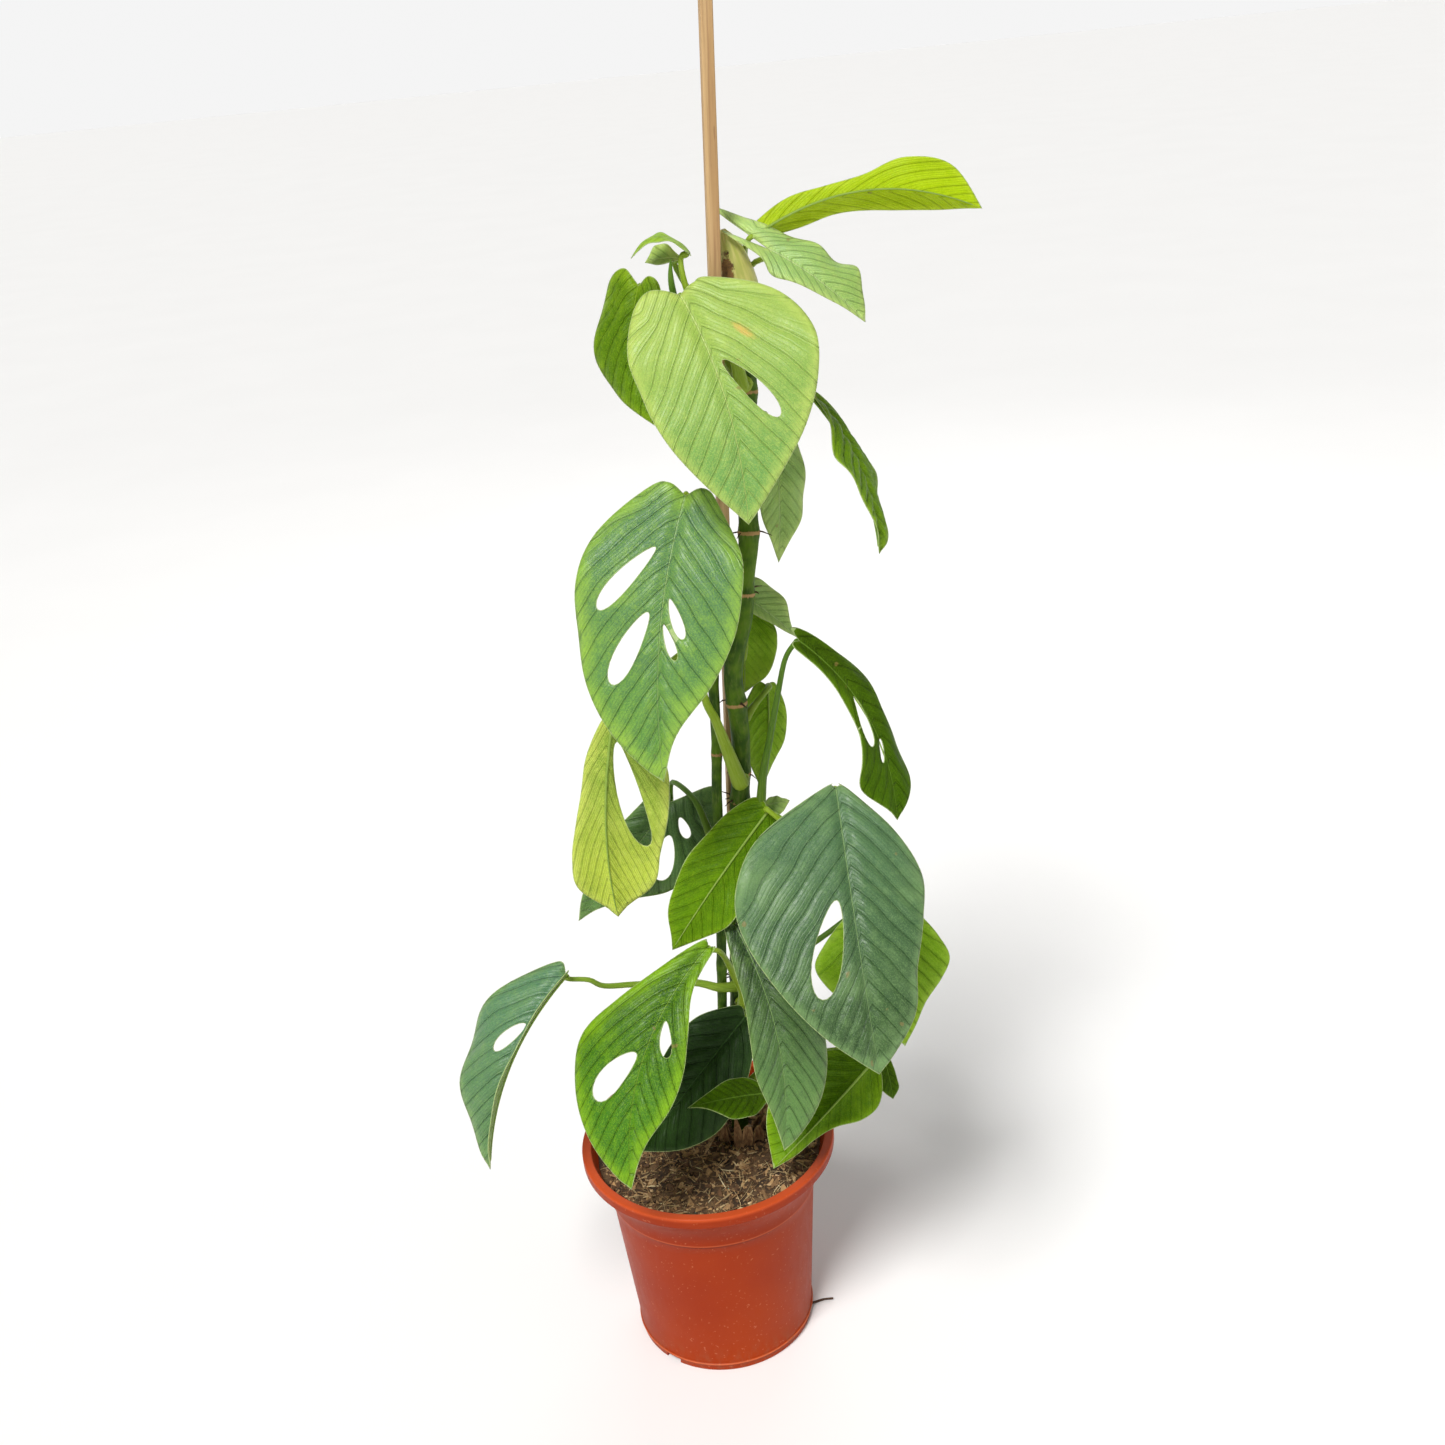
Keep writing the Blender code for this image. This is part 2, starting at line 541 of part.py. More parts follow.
def make_tip(finish, parts):
    """The sheath of the next leaf, on the end of the main stem."""
    route = main_points()
    start = route[-1] + (route[-1] - route[-2]).normalized() * (STEM_RADIUS * 0.1 + 2 * GAP)
    points = [start] + [above_mix(place[:3]) for place in TIP_ROUTE]
    radii = [STEM_RADIUS * 0.9] + [place[3] * MM for place in TIP_ROUTE]
    return tube("growing_tip", points, radii, finish, parts)


def main():
    clear_scene()
    parts = make_collection("potted_monstera")
    cutters = make_collection("cutters")
    plastic = material("pot_plastic", (0.58, 0.08, 0.018), 0.5)
    bark = material("bark_mix", (0.10, 0.055, 0.03), 0.95)
    wood = material("stake_wood", (0.55, 0.36, 0.22), 0.7)
    green_bark = material("stem_skin", (0.05, 0.10, 0.025), 0.6)
    leaf_skin = material("leaf_skin", (0.10, 0.24, 0.05), 0.45)
    stalk_skin = material("stalk_skin", (0.22, 0.36, 0.06), 0.5)
    sheath_skin = material("sheath_skin", (0.62, 0.60, 0.25), 0.5)
    root_skin = material("root_skin", (0.06, 0.035, 0.02), 0.8)

    make_pot(plastic, parts, cutters)
    mix = turned("soil", mix_profile(), bark, parts)
    make_stake("stake", STAKE_SIDE, wood, parts)
    cut(mix, as_cutter(make_stake("stake_hole", STAKE_SIDE + 4 * GAP, None, cutters)))
    for name, key in (("main_stem", "main"), ("second_stem", "second")):
        points, radius = STEMS[key]
        route = smooth_route(points(), 1)
        tube(name, route, [radius] * len(route), green_bark, parts)
        hole = tube(name + "_hole", route[:3], [radius + 2 * GAP] * 3, None, cutters)
        cut(mix, as_cutter(as_mesh(hole)))
    make_tip(sheath_skin, parts)
    tube("side_root", [Vector(place) * MM for place in SIDE_ROOT], [0.0011] * len(SIDE_ROOT), root_skin, parts)
    for leaf, sizes in BLADES.items():
        blade = Blade(**sizes)
        make_blade(leaf, blade, leaf_skin, parts, cutters)
        make_stalk(leaf, blade, stalk_skin, parts)


main()
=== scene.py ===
# %% [markdown]
# # A potted climbing monstera, piece by piece
#
# A climbing monstera in a moulded nursery pot, tied to nothing but leaning on a square wooden stake.
# The measured model of the plant is loaded first. It says where every leaf, stalk and stem is, and
# each of them is then made again with the veins, folds, rings and fibres that a plain solid leaves out.

# %% Load the measured model
import random
from math import cos, exp, pi, radians, sin

import bmesh
import bpy
import numpy as np
from mathutils import Matrix, Vector, noise
from mathutils.geometry import delaunay_2d_cdt, interpolate_bezier


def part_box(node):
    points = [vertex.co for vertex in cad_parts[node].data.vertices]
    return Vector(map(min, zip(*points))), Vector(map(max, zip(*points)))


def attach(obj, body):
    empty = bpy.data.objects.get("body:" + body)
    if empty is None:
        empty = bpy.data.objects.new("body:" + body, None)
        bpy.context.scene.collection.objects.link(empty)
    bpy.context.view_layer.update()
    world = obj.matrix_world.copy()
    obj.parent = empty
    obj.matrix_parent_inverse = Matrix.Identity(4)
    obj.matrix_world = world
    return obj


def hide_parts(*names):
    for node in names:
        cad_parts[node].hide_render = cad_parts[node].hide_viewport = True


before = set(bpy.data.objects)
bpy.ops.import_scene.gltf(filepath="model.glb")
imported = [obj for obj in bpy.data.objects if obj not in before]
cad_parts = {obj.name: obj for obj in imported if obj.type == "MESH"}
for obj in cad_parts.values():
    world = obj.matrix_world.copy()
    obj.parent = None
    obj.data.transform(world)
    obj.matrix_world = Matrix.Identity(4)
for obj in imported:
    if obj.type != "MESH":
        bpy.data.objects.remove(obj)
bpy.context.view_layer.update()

MM = 0.001

# %% [markdown]
# ## Camera, floor and light
#
# The plant is looked at from a little above, with the camera rolled a few degrees, so that the pot
# leans in the view. The light is one wide soft sun like an overcast sky, two weak lamps and a pale
# surround, because hard shadows would hide the veins. The surround could be one even grey, but then it
# would either look dark behind the plant or wash the leaves out from above. So it glows low down, where
# the walls of a room would be, and is dimmer overhead. The floor is one large pale sheet.

# %% Camera
HEIGHT_OF_EYE = 0.9388
DISTANCE = 0.9829
YAW, DOWN, ROLL = radians(2.407), radians(23.86), radians(-5.567)

forward = Vector((sin(YAW) * cos(DOWN), cos(YAW) * cos(DOWN), -sin(DOWN)))
level_right = Vector((cos(YAW), -sin(YAW), 0))
level_up = level_right.cross(forward)
right = level_right * cos(ROLL) + level_up * sin(ROLL)
up = level_up * cos(ROLL) - level_right * sin(ROLL)


def placed(name, data):
    """A new object in the scene, at the origin."""
    item = bpy.data.objects.new(name, data)
    bpy.context.scene.collection.objects.link(item)
    return item


camera = placed("camera", bpy.data.cameras.new("camera"))
camera.data.lens = 40
camera.data.sensor_width = 36
camera.matrix_world = Matrix.Translation((0, -DISTANCE, HEIGHT_OF_EYE)) @ Matrix(
    (right, up, -forward)).transposed().to_4x4()
bpy.context.scene.camera = camera
print("camera at", [round(v, 3) for v in camera.location])

# %% [markdown]
# ## Finishes wired up in code
#
# Every finish here is one Principled shader with a few noises mixed into its colour. They could be wired
# by hand in the shader editor, but more than thirty leaf finishes that differ only in their colours are
# easier to keep alike when one function wires them. A small class does the wiring, so that a recipe reads
# as a list of coats.

# %% Colours and node networks
def paint(code):
    """A colour of six hexadecimal digits, as linear light."""
    shares = [int(code[i:i + 2], 16) / 255 for i in (0, 2, 4)]
    return tuple(c / 12.92 if c <= 0.04045 else ((c + 0.055) / 1.055) ** 2.4 for c in shares) + (1,)


class Network:
    """A node tree being wired up: each call adds one node and hands back one of its outputs."""

    def __init__(self, tree):
        self.tree = tree

    def add(self, kind, feeds=None, out=0, **settings):
        node = self.tree.nodes.new(kind)
        for key, value in settings.items():
            setattr(node, key, value)
        for key, value in (feeds or {}).items():
            socket = next(socket for socket in node.inputs if socket.identifier == key)
            for item in value if isinstance(value, list) else [value]:
                if isinstance(item, bpy.types.NodeSocket):
                    self.tree.links.new(item, socket)
                else:
                    socket.default_value = item
        if isinstance(out, str):
            return next(socket for socket in node.outputs if socket.identifier == out)
        return node.outputs[out]


class Finish(Network):
    """One material, with short words for the nodes that the finishes here are made of."""

    def __init__(self, name, **sockets):
        self.material = bpy.data.materials.new(name)
        self.material.use_nodes = True
        super().__init__(self.material.node_tree)
        self.shader = self.tree.nodes["Principled BSDF"]
        for key, value in sockets.items():
            self.shader.inputs[key.replace("_", " ")].default_value = value

    def place(self):
        return self.add("ShaderNodeTexCoord", out="Object")

    def number(self, attribute):
        return self.add("ShaderNodeAttribute", out="Fac", attribute_name=attribute)

    def arrow(self, attribute):
        return self.add("ShaderNodeAttribute", out="Vector", attribute_name=attribute)

    def maths(self, operation, first, second=0.0):
        return self.add("ShaderNodeMath", {"Value": first, "Value_001": second}, operation=operation)

    def plus(self, first, second):
        return self.maths("ADD", first, second)

    def minus(self, first, second):
        return self.maths("SUBTRACT", first, second)

    def times(self, first, second):
        return self.maths("MULTIPLY", first, second)

    def size(self, value):
        return self.maths("ABSOLUTE", value)

    def stretch(self, vector, scale):
        return self.add("ShaderNodeVectorMath", {"Vector": vector, "Vector_001": scale}, operation="MULTIPLY")

    def fade(self, value, low, high, start=0.0, end=1.0):
        """From start to end as the value goes from low to high."""
        return self.add("ShaderNodeMapRange", {"Value": value, "From Min": low, "From Max": high,
                        "To Min": start, "To Max": end}, interpolation_type="SMOOTHSTEP")

    def mix(self, share, first, second):
        """From the first colour to the second. Each is a code for paint, or what another node gives."""
        first, second = [paint(colour) if isinstance(colour, str) else colour for colour in (first, second)]
        return self.add("ShaderNodeMix", {"Factor_Float": share, "A_Color": first, "B_Color": second},
                        out="Result_Color", data_type="RGBA")

    def coats(self, colour, coats):
        """Colours laid over one another, each as (share, colour)."""
        for share, coat in coats:
            colour = self.mix(share, colour, coat)
        return colour

    def cloud(self, vector, scale, detail=3.0, roughness=0.5, distortion=0.0):
        return self.add("ShaderNodeTexNoise", {"Vector": vector, "Scale": scale, "Detail": detail,
                        "Roughness": roughness, "Distortion": distortion})

    def cells(self, vector, scale, feature="F1", out="Distance"):
        return self.add("ShaderNodeTexVoronoi", {"Vector": vector, "Scale": scale}, out=out, feature=feature)

    def line(self, phase, width):
        """1 along the whole numbers of a phase, fading to 0 at this share of the way to the next."""
        past_middle = self.minus(self.maths("FRACT", self.plus(phase, 0.5)), 0.5)
        return self.fade(self.size(past_middle), 0.0, width, 1.0, 0.0)

    def bump(self, height, depth, strength=1.0):
        return self.add("ShaderNodeBump", {"Height": height, "Distance": depth, "Strength": strength})

    def finish(self, colour, roughness=None, normal=None):
        self.tree.links.new(colour, self.shader.inputs["Base Color"])
        if roughness is not None:
            self.tree.links.new(roughness, self.shader.inputs["Roughness"])
        if normal is not None:
            self.tree.links.new(normal, self.shader.inputs["Normal"])
        return self.material


print("finishes are built from one Principled shader each")

# %% Floor, surround and lamps
HALF_FLOOR = 30.0
LAMPS = [("fill", (1.9, -1.4, 1.3), 1.8, 6.0), ("back", (0.5, 1.9, 1.9), 1.6, 10.0)]
WALL_GLOW, CEILING_GLOW = 0.93, 0.23      # the room is brightest low down, where its walls meet the floor
WALLS_END, CEILING_STARTS = 0.07, 0.3     # how steeply one looks up, as the sine of the angle
SKY_FROM, SKY_WIDTH, SKY_POWER = (-0.5, -0.9, 1.45), radians(20), 3.1

floor_finish = Finish("pale_floor", Roughness=0.8)
floor_cloud = floor_finish.cloud(floor_finish.place(), 3.0)
floor_finish.finish(floor_finish.mix(floor_cloud, "F2F1EF", "F6F5F3"))
floor_mesh = bpy.data.meshes.new("floor")
corners = [(-HALF_FLOOR, -HALF_FLOOR, 0), (HALF_FLOOR, -HALF_FLOOR, 0), (HALF_FLOOR, HALF_FLOOR, 0),
           (-HALF_FLOOR, HALF_FLOOR, 0)]
floor_mesh.from_pydata(corners, [], [(0, 1, 2, 3)])
floor_mesh.materials.append(floor_finish.material)
placed("floor", floor_mesh)


def aimed(item, place, aim):
    """Turns a lamp so that it shines from a place along a direction."""
    item.matrix_world = Matrix.Translation(place) @ aim.to_track_quat("-Z", "Y").to_matrix().to_4x4()


for name, place, size, power in LAMPS:
    lamp = bpy.data.lights.new(name, "AREA")
    lamp.size = size
    lamp.energy = power
    aimed(placed(name, lamp), place, Vector((0, 0, 0.5)) - Vector(place))

sky = bpy.data.lights.new("soft_sky", "SUN")
sky.angle = SKY_WIDTH
sky.energy = SKY_POWER
aimed(placed("soft_sky", sky), (0, 0, 0), -Vector(SKY_FROM))

surround = bpy.data.worlds.new("surround")
surround.use_nodes = True
surround.node_tree.nodes["Background"].inputs["Color"].default_value = (0.98, 0.98, 0.98, 1)
studio, links = surround.node_tree.nodes, surround.node_tree.links
direction, upward = studio.new("ShaderNodeTexCoord"), studio.new("ShaderNodeSeparateXYZ")
fading = studio.new("ShaderNodeMapRange")
for key, value in (("From Min", WALLS_END), ("From Max", CEILING_STARTS), ("To Min", WALL_GLOW),
                   ("To Max", CEILING_GLOW)):
    fading.inputs[key].default_value = value
links.new(direction.outputs["Generated"], upward.inputs["Vector"])
links.new(upward.outputs["Z"], fading.inputs["Value"])
links.new(fading.outputs["Result"], studio["Background"].inputs["Strength"])
bpy.context.scene.world = surround
bpy.context.scene.view_settings.view_transform = "Standard"
print("lamps", [row[0] for row in LAMPS])

# %% [markdown]
# ## The routes that stems and stalks follow
#
# A stem is a smooth line through a few places, with a thickness at each. The line is the same one that
# the measured solid follows, so each new piece stands exactly where the solid did. A Geometry Nodes
# tree sweeps a circle along it. A curve object with a bevel could do that too, but one tree serves the two
# stems, all the stalks, the ridges and the roots. It also leaves two marks on the skin, the distance run and
# the direction round the stem, so that streaks can follow the growth and not the room.

# %% Places over the mix
MIX_TOP = 0.157
STEM_RADIUS, SECOND_RADIUS = 0.0072, 0.0040
STAKE_MIDDLE, STAKE_SIDE, STAKE_GAP = 0.030, 0.0075, 0.0008
STEM_FRONT = STAKE_MIDDLE - STAKE_SIDE / 2 - STEM_RADIUS - STAKE_GAP


def above_mix(point):
    """A place given in millimetres over the middle of the mix."""
    return Vector((point[0] * MM, point[1] * MM, MIX_TOP + point[2] * MM))


def smooth_route(points, steps):
    """A smooth curve through the points, with `steps` short runs between each two of them."""
    ends = [2 * points[0] - points[1], *points, 2 * points[-1] - points[-2]]
    route = []
    for before, start, end, after in zip(ends, ends[1:], ends[2:], ends[3:]):
        for i in range(steps):
            t = i / steps
            bend = 2 * before - 5 * start + 4 * end - after
            twist = 3 * start - before - 3 * end + after
            route.append(start + 0.5 * ((end - before) * t + bend * t ** 2 + twist * t ** 3))
    return route + [points[-1]]


print("the stem's middle is", round(STEM_FRONT / MM, 2), "mm behind the pot's middle")


# %% One tree that sweeps a circle along any route
def sweep_tree():
    tree = bpy.data.node_groups.new("sweep", "GeometryNodeTree")
    net = Network(tree)
    face = tree.interface
    face.new_socket("Route", in_out="INPUT", socket_type="NodeSocketGeometry")
    sizes = {}
    for name, kind in (("Sides", "NodeSocketInt"), ("Skin", "NodeSocketMaterial")):
        sizes[name] = face.new_socket(name, in_out="INPUT", socket_type=kind).identifier
    face.new_socket("Piece", in_out="OUTPUT", socket_type="NodeSocketGeometry")
    ins = net.tree.nodes.new("NodeGroupInput").outputs
    path = net.add("GeometryNodeMeshToCurve", {"Mesh": ins["Route"]})
    length = net.add("GeometryNodeSplineParameter", out="Length")
    path = net.add("GeometryNodeStoreNamedAttribute", {"Geometry": path, "Name": "run", "Value": length},
                   data_type="FLOAT", domain="POINT")
    ring = net.add("GeometryNodeCurvePrimitiveCircle", {"Resolution": ins["Sides"], "Radius": 1.0})
    where = net.add("GeometryNodeInputPosition")
    ring = net.add("GeometryNodeStoreNamedAttribute", {"Geometry": ring, "Name": "round", "Value": where},
                   data_type="FLOAT_VECTOR", domain="POINT")
    girth = net.add("GeometryNodeInputNamedAttribute", {"Name": "girth"}, data_type="FLOAT")
    skin = net.add("GeometryNodeCurveToMesh", {"Curve": path, "Profile Curve": ring, "Scale": girth,
                   "Fill Caps": True})
    skin = net.add("GeometryNodeSetShadeSmooth", {"Geometry": skin, "Shade Smooth": True})
    skin = net.add("GeometryNodeRealizeInstances", {"Geometry": skin})
    skin = net.add("GeometryNodeSetMaterial", {"Geometry": skin, "Material": ins["Skin"]})
    net.tree.links.new(skin, net.tree.nodes.new("NodeGroupOutput").inputs["Piece"])
    return tree, sizes


def grow(name, host, tree, sizes, **values):
    """Runs a tree on a host mesh and keeps the plain mesh that comes out, as a new piece in the scene."""
    seed = placed(name + "_seed", host)
    modifier = seed.modifiers.new("Grow", "NODES")
    modifier.node_group = tree
    for key, value in values.items():
        modifier[sizes[key]] = value
    seen = seed.evaluated_get(bpy.context.evaluated_depsgraph_get())
    mesh = bpy.data.meshes.new_from_object(seen)
    bpy.data.objects.remove(seed)
    mesh.name = name
    return placed(name, mesh)


SWEEP, SWEEP_SIZES = sweep_tree()


def swept(name, routes, skin, sides=12):
    """One piece from several routes of (place, radius, mark). The skin keeps the mark for its finish."""
    host = bpy.data.meshes.new(name + "_route")
    places, edges, radii, marks = [], [], [], []
    for route in routes:
        edges += [(len(places) + i, len(places) + i + 1) for i in range(len(route) - 1)]
        for place, radius, mark in route:
            places.append(place)
            radii.append(radius)
            marks.append(mark)
    host.from_pydata(places, edges, [])
    for key, values in (("girth", radii), ("mark", marks)):
        host.attributes.new(key, "FLOAT", "POINT").data.foreach_set("value", values)
    return grow(name, host, SWEEP, SWEEP_SIZES, Sides=sides, Skin=skin)


def keep(item, slot, *nodes):
    """The piece rides on the plant and stands for these solids."""
    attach(item, "root")
    if nodes:
        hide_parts(*nodes)
    return item


print("sweep inputs", SWEEP_SIZES)

# %% [markdown]
# ## Leaves
#
# A leaf is a thin sheet that bends along its midrib, with a lobe on each side of the stalk, oval windows
# between its side veins, and skin that rises in soft pillows from vein to vein. A subdivided card with a
# picture of a leaf on it would be quick, but its outline and windows would be jagged and flat. So each
# leaf is drawn flat first, as an outline, a midrib and its windows, and filled with small triangles.
# Then it is bent. Every point keeps six marks for the finish: how far it is from the midrib, from any
# edge, from the outer edge and from the stalk, where it is between two side veins, and how scorched it is.

# %% The leaves: place, facing, outline and looks
# base and tip: millimetres over the mix. face: degrees to the right of the front, and up. arch and bow:
# how far the middle stands out and to the side. left and right: how far the lobe reaches back, then the
# half width at every sixth of the length. fold: degrees that each half is folded up. holes: for each
# window its place along and across, its length and width, and its turn in degrees. droop: how far the
# edges hang. burn: a scorched streak, given as a window is. rake: how steeply the side veins run to the
# tip. relief: how much the skin swells between them. skins: upper and under side.
LEAVES = {
    "leaf_top_right": dict(
        base=(93, 38, 654), tip=(231, 26, 657), face=(180, 4), arch=4, bow=-18, fold=(35, 30),
        left=(0, 6, 10, 8, 10, 21, 21), right=(0, 6, 13, 14, 16, 16, 12),
        skins=("spring", "vivid"), droop=2, rake=1.8, relief=0.35),
    "leaf_top_inner": dict(
        base=(98, 25, 647), tip=(152, -1, 601), face=(10, 38), arch=6,
        left=(30, 9, 15, 13, 10, 7, 3), right=(44, 15, 18, 21, 20, 24, 13),
        skins=("spring", "vivid"), droop=4, rake=1.4, relief=0.3),
    "leaf_top_left": dict(
        base=(17, 52, 629), tip=(43, 4, 532), face=(-40, 12), arch=9, bow=-18,
        left=(7, 25, 31, 31, 21, 10, 4), right=(5, 18, 26, 30, 27, 20, 9),
        skins=("grass", "lime"), droop=5),
    "leaf_top_front": dict(
        base=(41, 5, 628), tip=(66, -58, 499), face=(-5, 25), arch=10, bow=8,
        left=(10, 34, 46, 47, 45, 37, 22), right=(1, 20, 54, 64, 57, 42, 21),
        holes=[(69, 17, 46, 11, 30)],
        skins=("light", "pale"), droop=7, rake=1.0, relief=0.7, burn=(37, 24, 24, 8, 35)),
    "leaf_young_arched": dict(
        base=(50, 25, 649), tip=(14, 24, 649), face=(0, 75), arch=12,
        left=(1, 3, 6, 7, 7, 5, 3), right=(1, 3, 5, 6, 6, 5, 3),
        skins=("leafy", "lime"), droop=1),
    "leaf_young_curled": dict(
        base=(45, 34, 645), tip=(22, 33, 645), face=(0, 35), arch=3,
        left=(1, 2, 5, 8, 9, 8, 4), right=(1, 1, 2, 3, 4, 4, 2),
        skins=("light", "pale"), droop=-2),
    "leaf_high_right": dict(
        base=(118, 15, 558), tip=(148, -40, 466), face=(75, 25), arch=8, bow=6,
        left=(3, 8, 16, 26, 31, 23, 11), right=(3, 5, 12, 20, 36, 27, 17),
        skins=("grass", "lime"), droop=5),
    "leaf_high_back": dict(
        base=(96, 53, 530), tip=(91, 38, 441), face=(15, 12), arch=6,
        left=(4, 10, 15, 16, 15, 12, 6), right=(4, 12, 17, 19, 18, 16, 7),
        skins=("spring", "pale"), droop=3),
    "leaf_middle_left": dict(
        base=(32, 0, 505), tip=(-2, -61, 337), face=(-15, 22), arch=12, bow=-7,
        left=(5, 24, 52, 59, 56, 47, 30), right=(6, 21, 44, 49, 46, 34, 12),
        holes=[(56, -26, 52, 12, -38), (98, -19, 50, 14, -26), (78, 10, 27, 7, 25), (93, 7, 24, 6, 24)],
        skins=("sea", "pale"), droop=9),
    "leaf_middle_hanging": dict(
        base=(-32, -2, 355), tip=(-45, 4, 206), face=(175, 2), arch=-5, bow=6,
        left=(6, 20, 39, 43, 41, 36, 29), right=(3, 8, 15, 17, 21, 25, 23),
        holes=[(52, -16, 84, 16, -16)],
        skins=("grass", "olive"), droop=6, rake=2.4, relief=0.5),
    "leaf_middle_dark": dict(
        base=(1, 55, 265), tip=(-77, 46, 180), face=(-10, 15), arch=6,
        left=(6, 14, 17, 19, 19, 15, 9), right=(28, 40, 45, 43, 36, 19, 6),
        holes=[(35, 21, 34, 15, 24), (9, 19, 16, 7, 60)],
        skins=("dusk", "lime"), droop=4),
    "leaf_low_inner": dict(
        base=(67, 0, 276), tip=(-9, -17, 186), face=(160, -25), arch=-8,
        left=(3, 14, 20, 22, 25, 24, 13), right=(4, 16, 23, 25, 26, 24, 17),
        skins=("moss", "lime"), droop=4),
    "leaf_low_front": dict(
        base=(109, -45, 311), tip=(112, -152, 160), face=(12, 35), arch=15, bow=-5,
        left=(1, 6, 54, 73, 71, 56, 33), right=(1, 5, 34, 51, 45, 36, 29),
        holes=[(104, -20, 61, 18, -18)],
        skins=("slate", "pale"), droop=10),
    "leaf_low_right": dict(
        base=(156, 30, 162), tip=(151, -17, 80), face=(15, 25), arch=8,
        left=(12, 42, 58, 66, 60, 40, 16), right=(8, 18, 30, 36, 28, 15, 7),
        skins=("leafy", "lime"), droop=4),
    "leaf_low_small_right": dict(
        base=(137, 20, 58), tip=(143, 6, 17), face=(20, 20), arch=3,
        left=(1, 3, 5, 8, 10, 10, 6), right=(1, 3, 4, 5, 6, 6, 6),
        skins=("moss", "lime"), droop=1),
    "leaf_low_under": dict(
        base=(124, -15, 67), tip=(44, -65, 25), face=(-170, -40), arch=-8,
        left=(3, 13, 24, 22, 12, 7, 5), right=(3, 16, 31, 39, 39, 37, 25),
        skins=("moss", "lime"), droop=4),
    "leaf_low_centre": dict(
        base=(35, -25, 205), tip=(51, -98, 65), face=(5, 28), arch=12, bow=11,
        left=(2, 8, 14, 16, 19, 19, 10), right=(2, 8, 17, 25, 32, 31, 20),
        skins=("shade", "pale"), droop=5, rake=1.3),
    "leaf_front_left": dict(
        base=(15, -45, 202), tip=(-55, -120, 67), face=(-20, 35), arch=14, bow=-16,
        left=(2, 6, 18, 33, 48, 44, 27), right=(2, 5, 11, 24, 30, 27, 12),
        holes=[(99, -16, 41, 16, -32), (66, 11, 25, 8, 26)],
        skins=("bright", "pale"), droop=7, rake=1.3),
    "leaf_far_left": dict(
        base=(-85, -30, 184), tip=(-152, -82, 68), face=(-35, 35), arch=14, bow=-7, fold=(0, 60),
        left=(5, 14, 32, 41, 41, 35, 16), right=(3, 8, 18, 22, 22, 17, 8),
        holes=[(53, -9, 28, 9, -26)],
        skins=("far", "pale"), droop=6),
    "leaf_low_dark": dict(
        base=(37, 0, 112), tip=(-50, -46, 39), face=(-10, 36), arch=4,
        left=(4, 12, 26, 30, 28, 22, 14), right=(4, 12, 23, 32, 36, 34, 23),
        skins=("night", "pale"), droop=4),
    "leaf_low_small": dict(
        base=(43, -37, 70), tip=(-12, -64, 86), face=(-15, 50), arch=4,
        left=(2, 7, 14, 14, 12, 8, 4), right=(2, 7, 14, 16, 15, 10, 3),
        skins=("moss", "lime"), droop=2),
    "leaf_back_upper": dict(
        base=(56, 44, 426), tip=(99, 36, 388), face=(20, 30), arch=6,
        left=(3, 6, 8, 8, 7, 5, 3), right=(3, 10, 15, 17, 16, 13, 5),
        skins=("spring", "lime"), droop=1),
    "leaf_middle_right": dict(
        base=(96, -10, 403), tip=(150, -40, 279), face=(40, 25), arch=8, bow=14,
        left=(3, 8, 9, 11, 15, 24, 23), right=(8, 8, 12, 19, 13, 15, 18),
        holes=[(68, -6, 36, 9, -15), (92, -2, 16, 5, -22)],
        skins=("moss", "lime"), droop=5, rake=1.2, relief=0.6),
    "leaf_back_middle": dict(
        base=(67, 48, 406), tip=(61, 44, 349), face=(170, -5), arch=-5,
        left=(3, 10, 20, 22, 21, 18, 12), right=(3, 8, 12, 13, 12, 9, 5),
        skins=("moss", "leafy"), droop=2),
    "leaf_back_lower": dict(
        base=(76, 45, 351), tip=(65, 37, 276), face=(-160, -5), arch=-6,
        left=(2, 8, 13, 16, 14, 9, 4), right=(3, 10, 18, 20, 18, 14, 7),
        skins=("moss", "leafy"), droop=2),
    "leaf_middle_round": dict(
        base=(68, 30, 266), tip=(85, 31, 267), face=(0, 30), arch=2,
        left=(1, 6, 9, 9, 8, 6, 3), right=(1, 3, 5, 5, 5, 3, 2),
        skins=("spring", "pale"), droop=1),
}
print("leaves", len(LEAVES))


# %% The bent surface of one leaf
SIDE_VEIN_GAPS = (0.006, 0.0145)     # narrowest and widest, in metres
# how high the skin stands between the veins, along the midrib, in the waves of the edge and at random
PILLOW, TROUGH, WAVE, RIPPLE = 0.0028, 0.0032, 0.0038, 0.0056


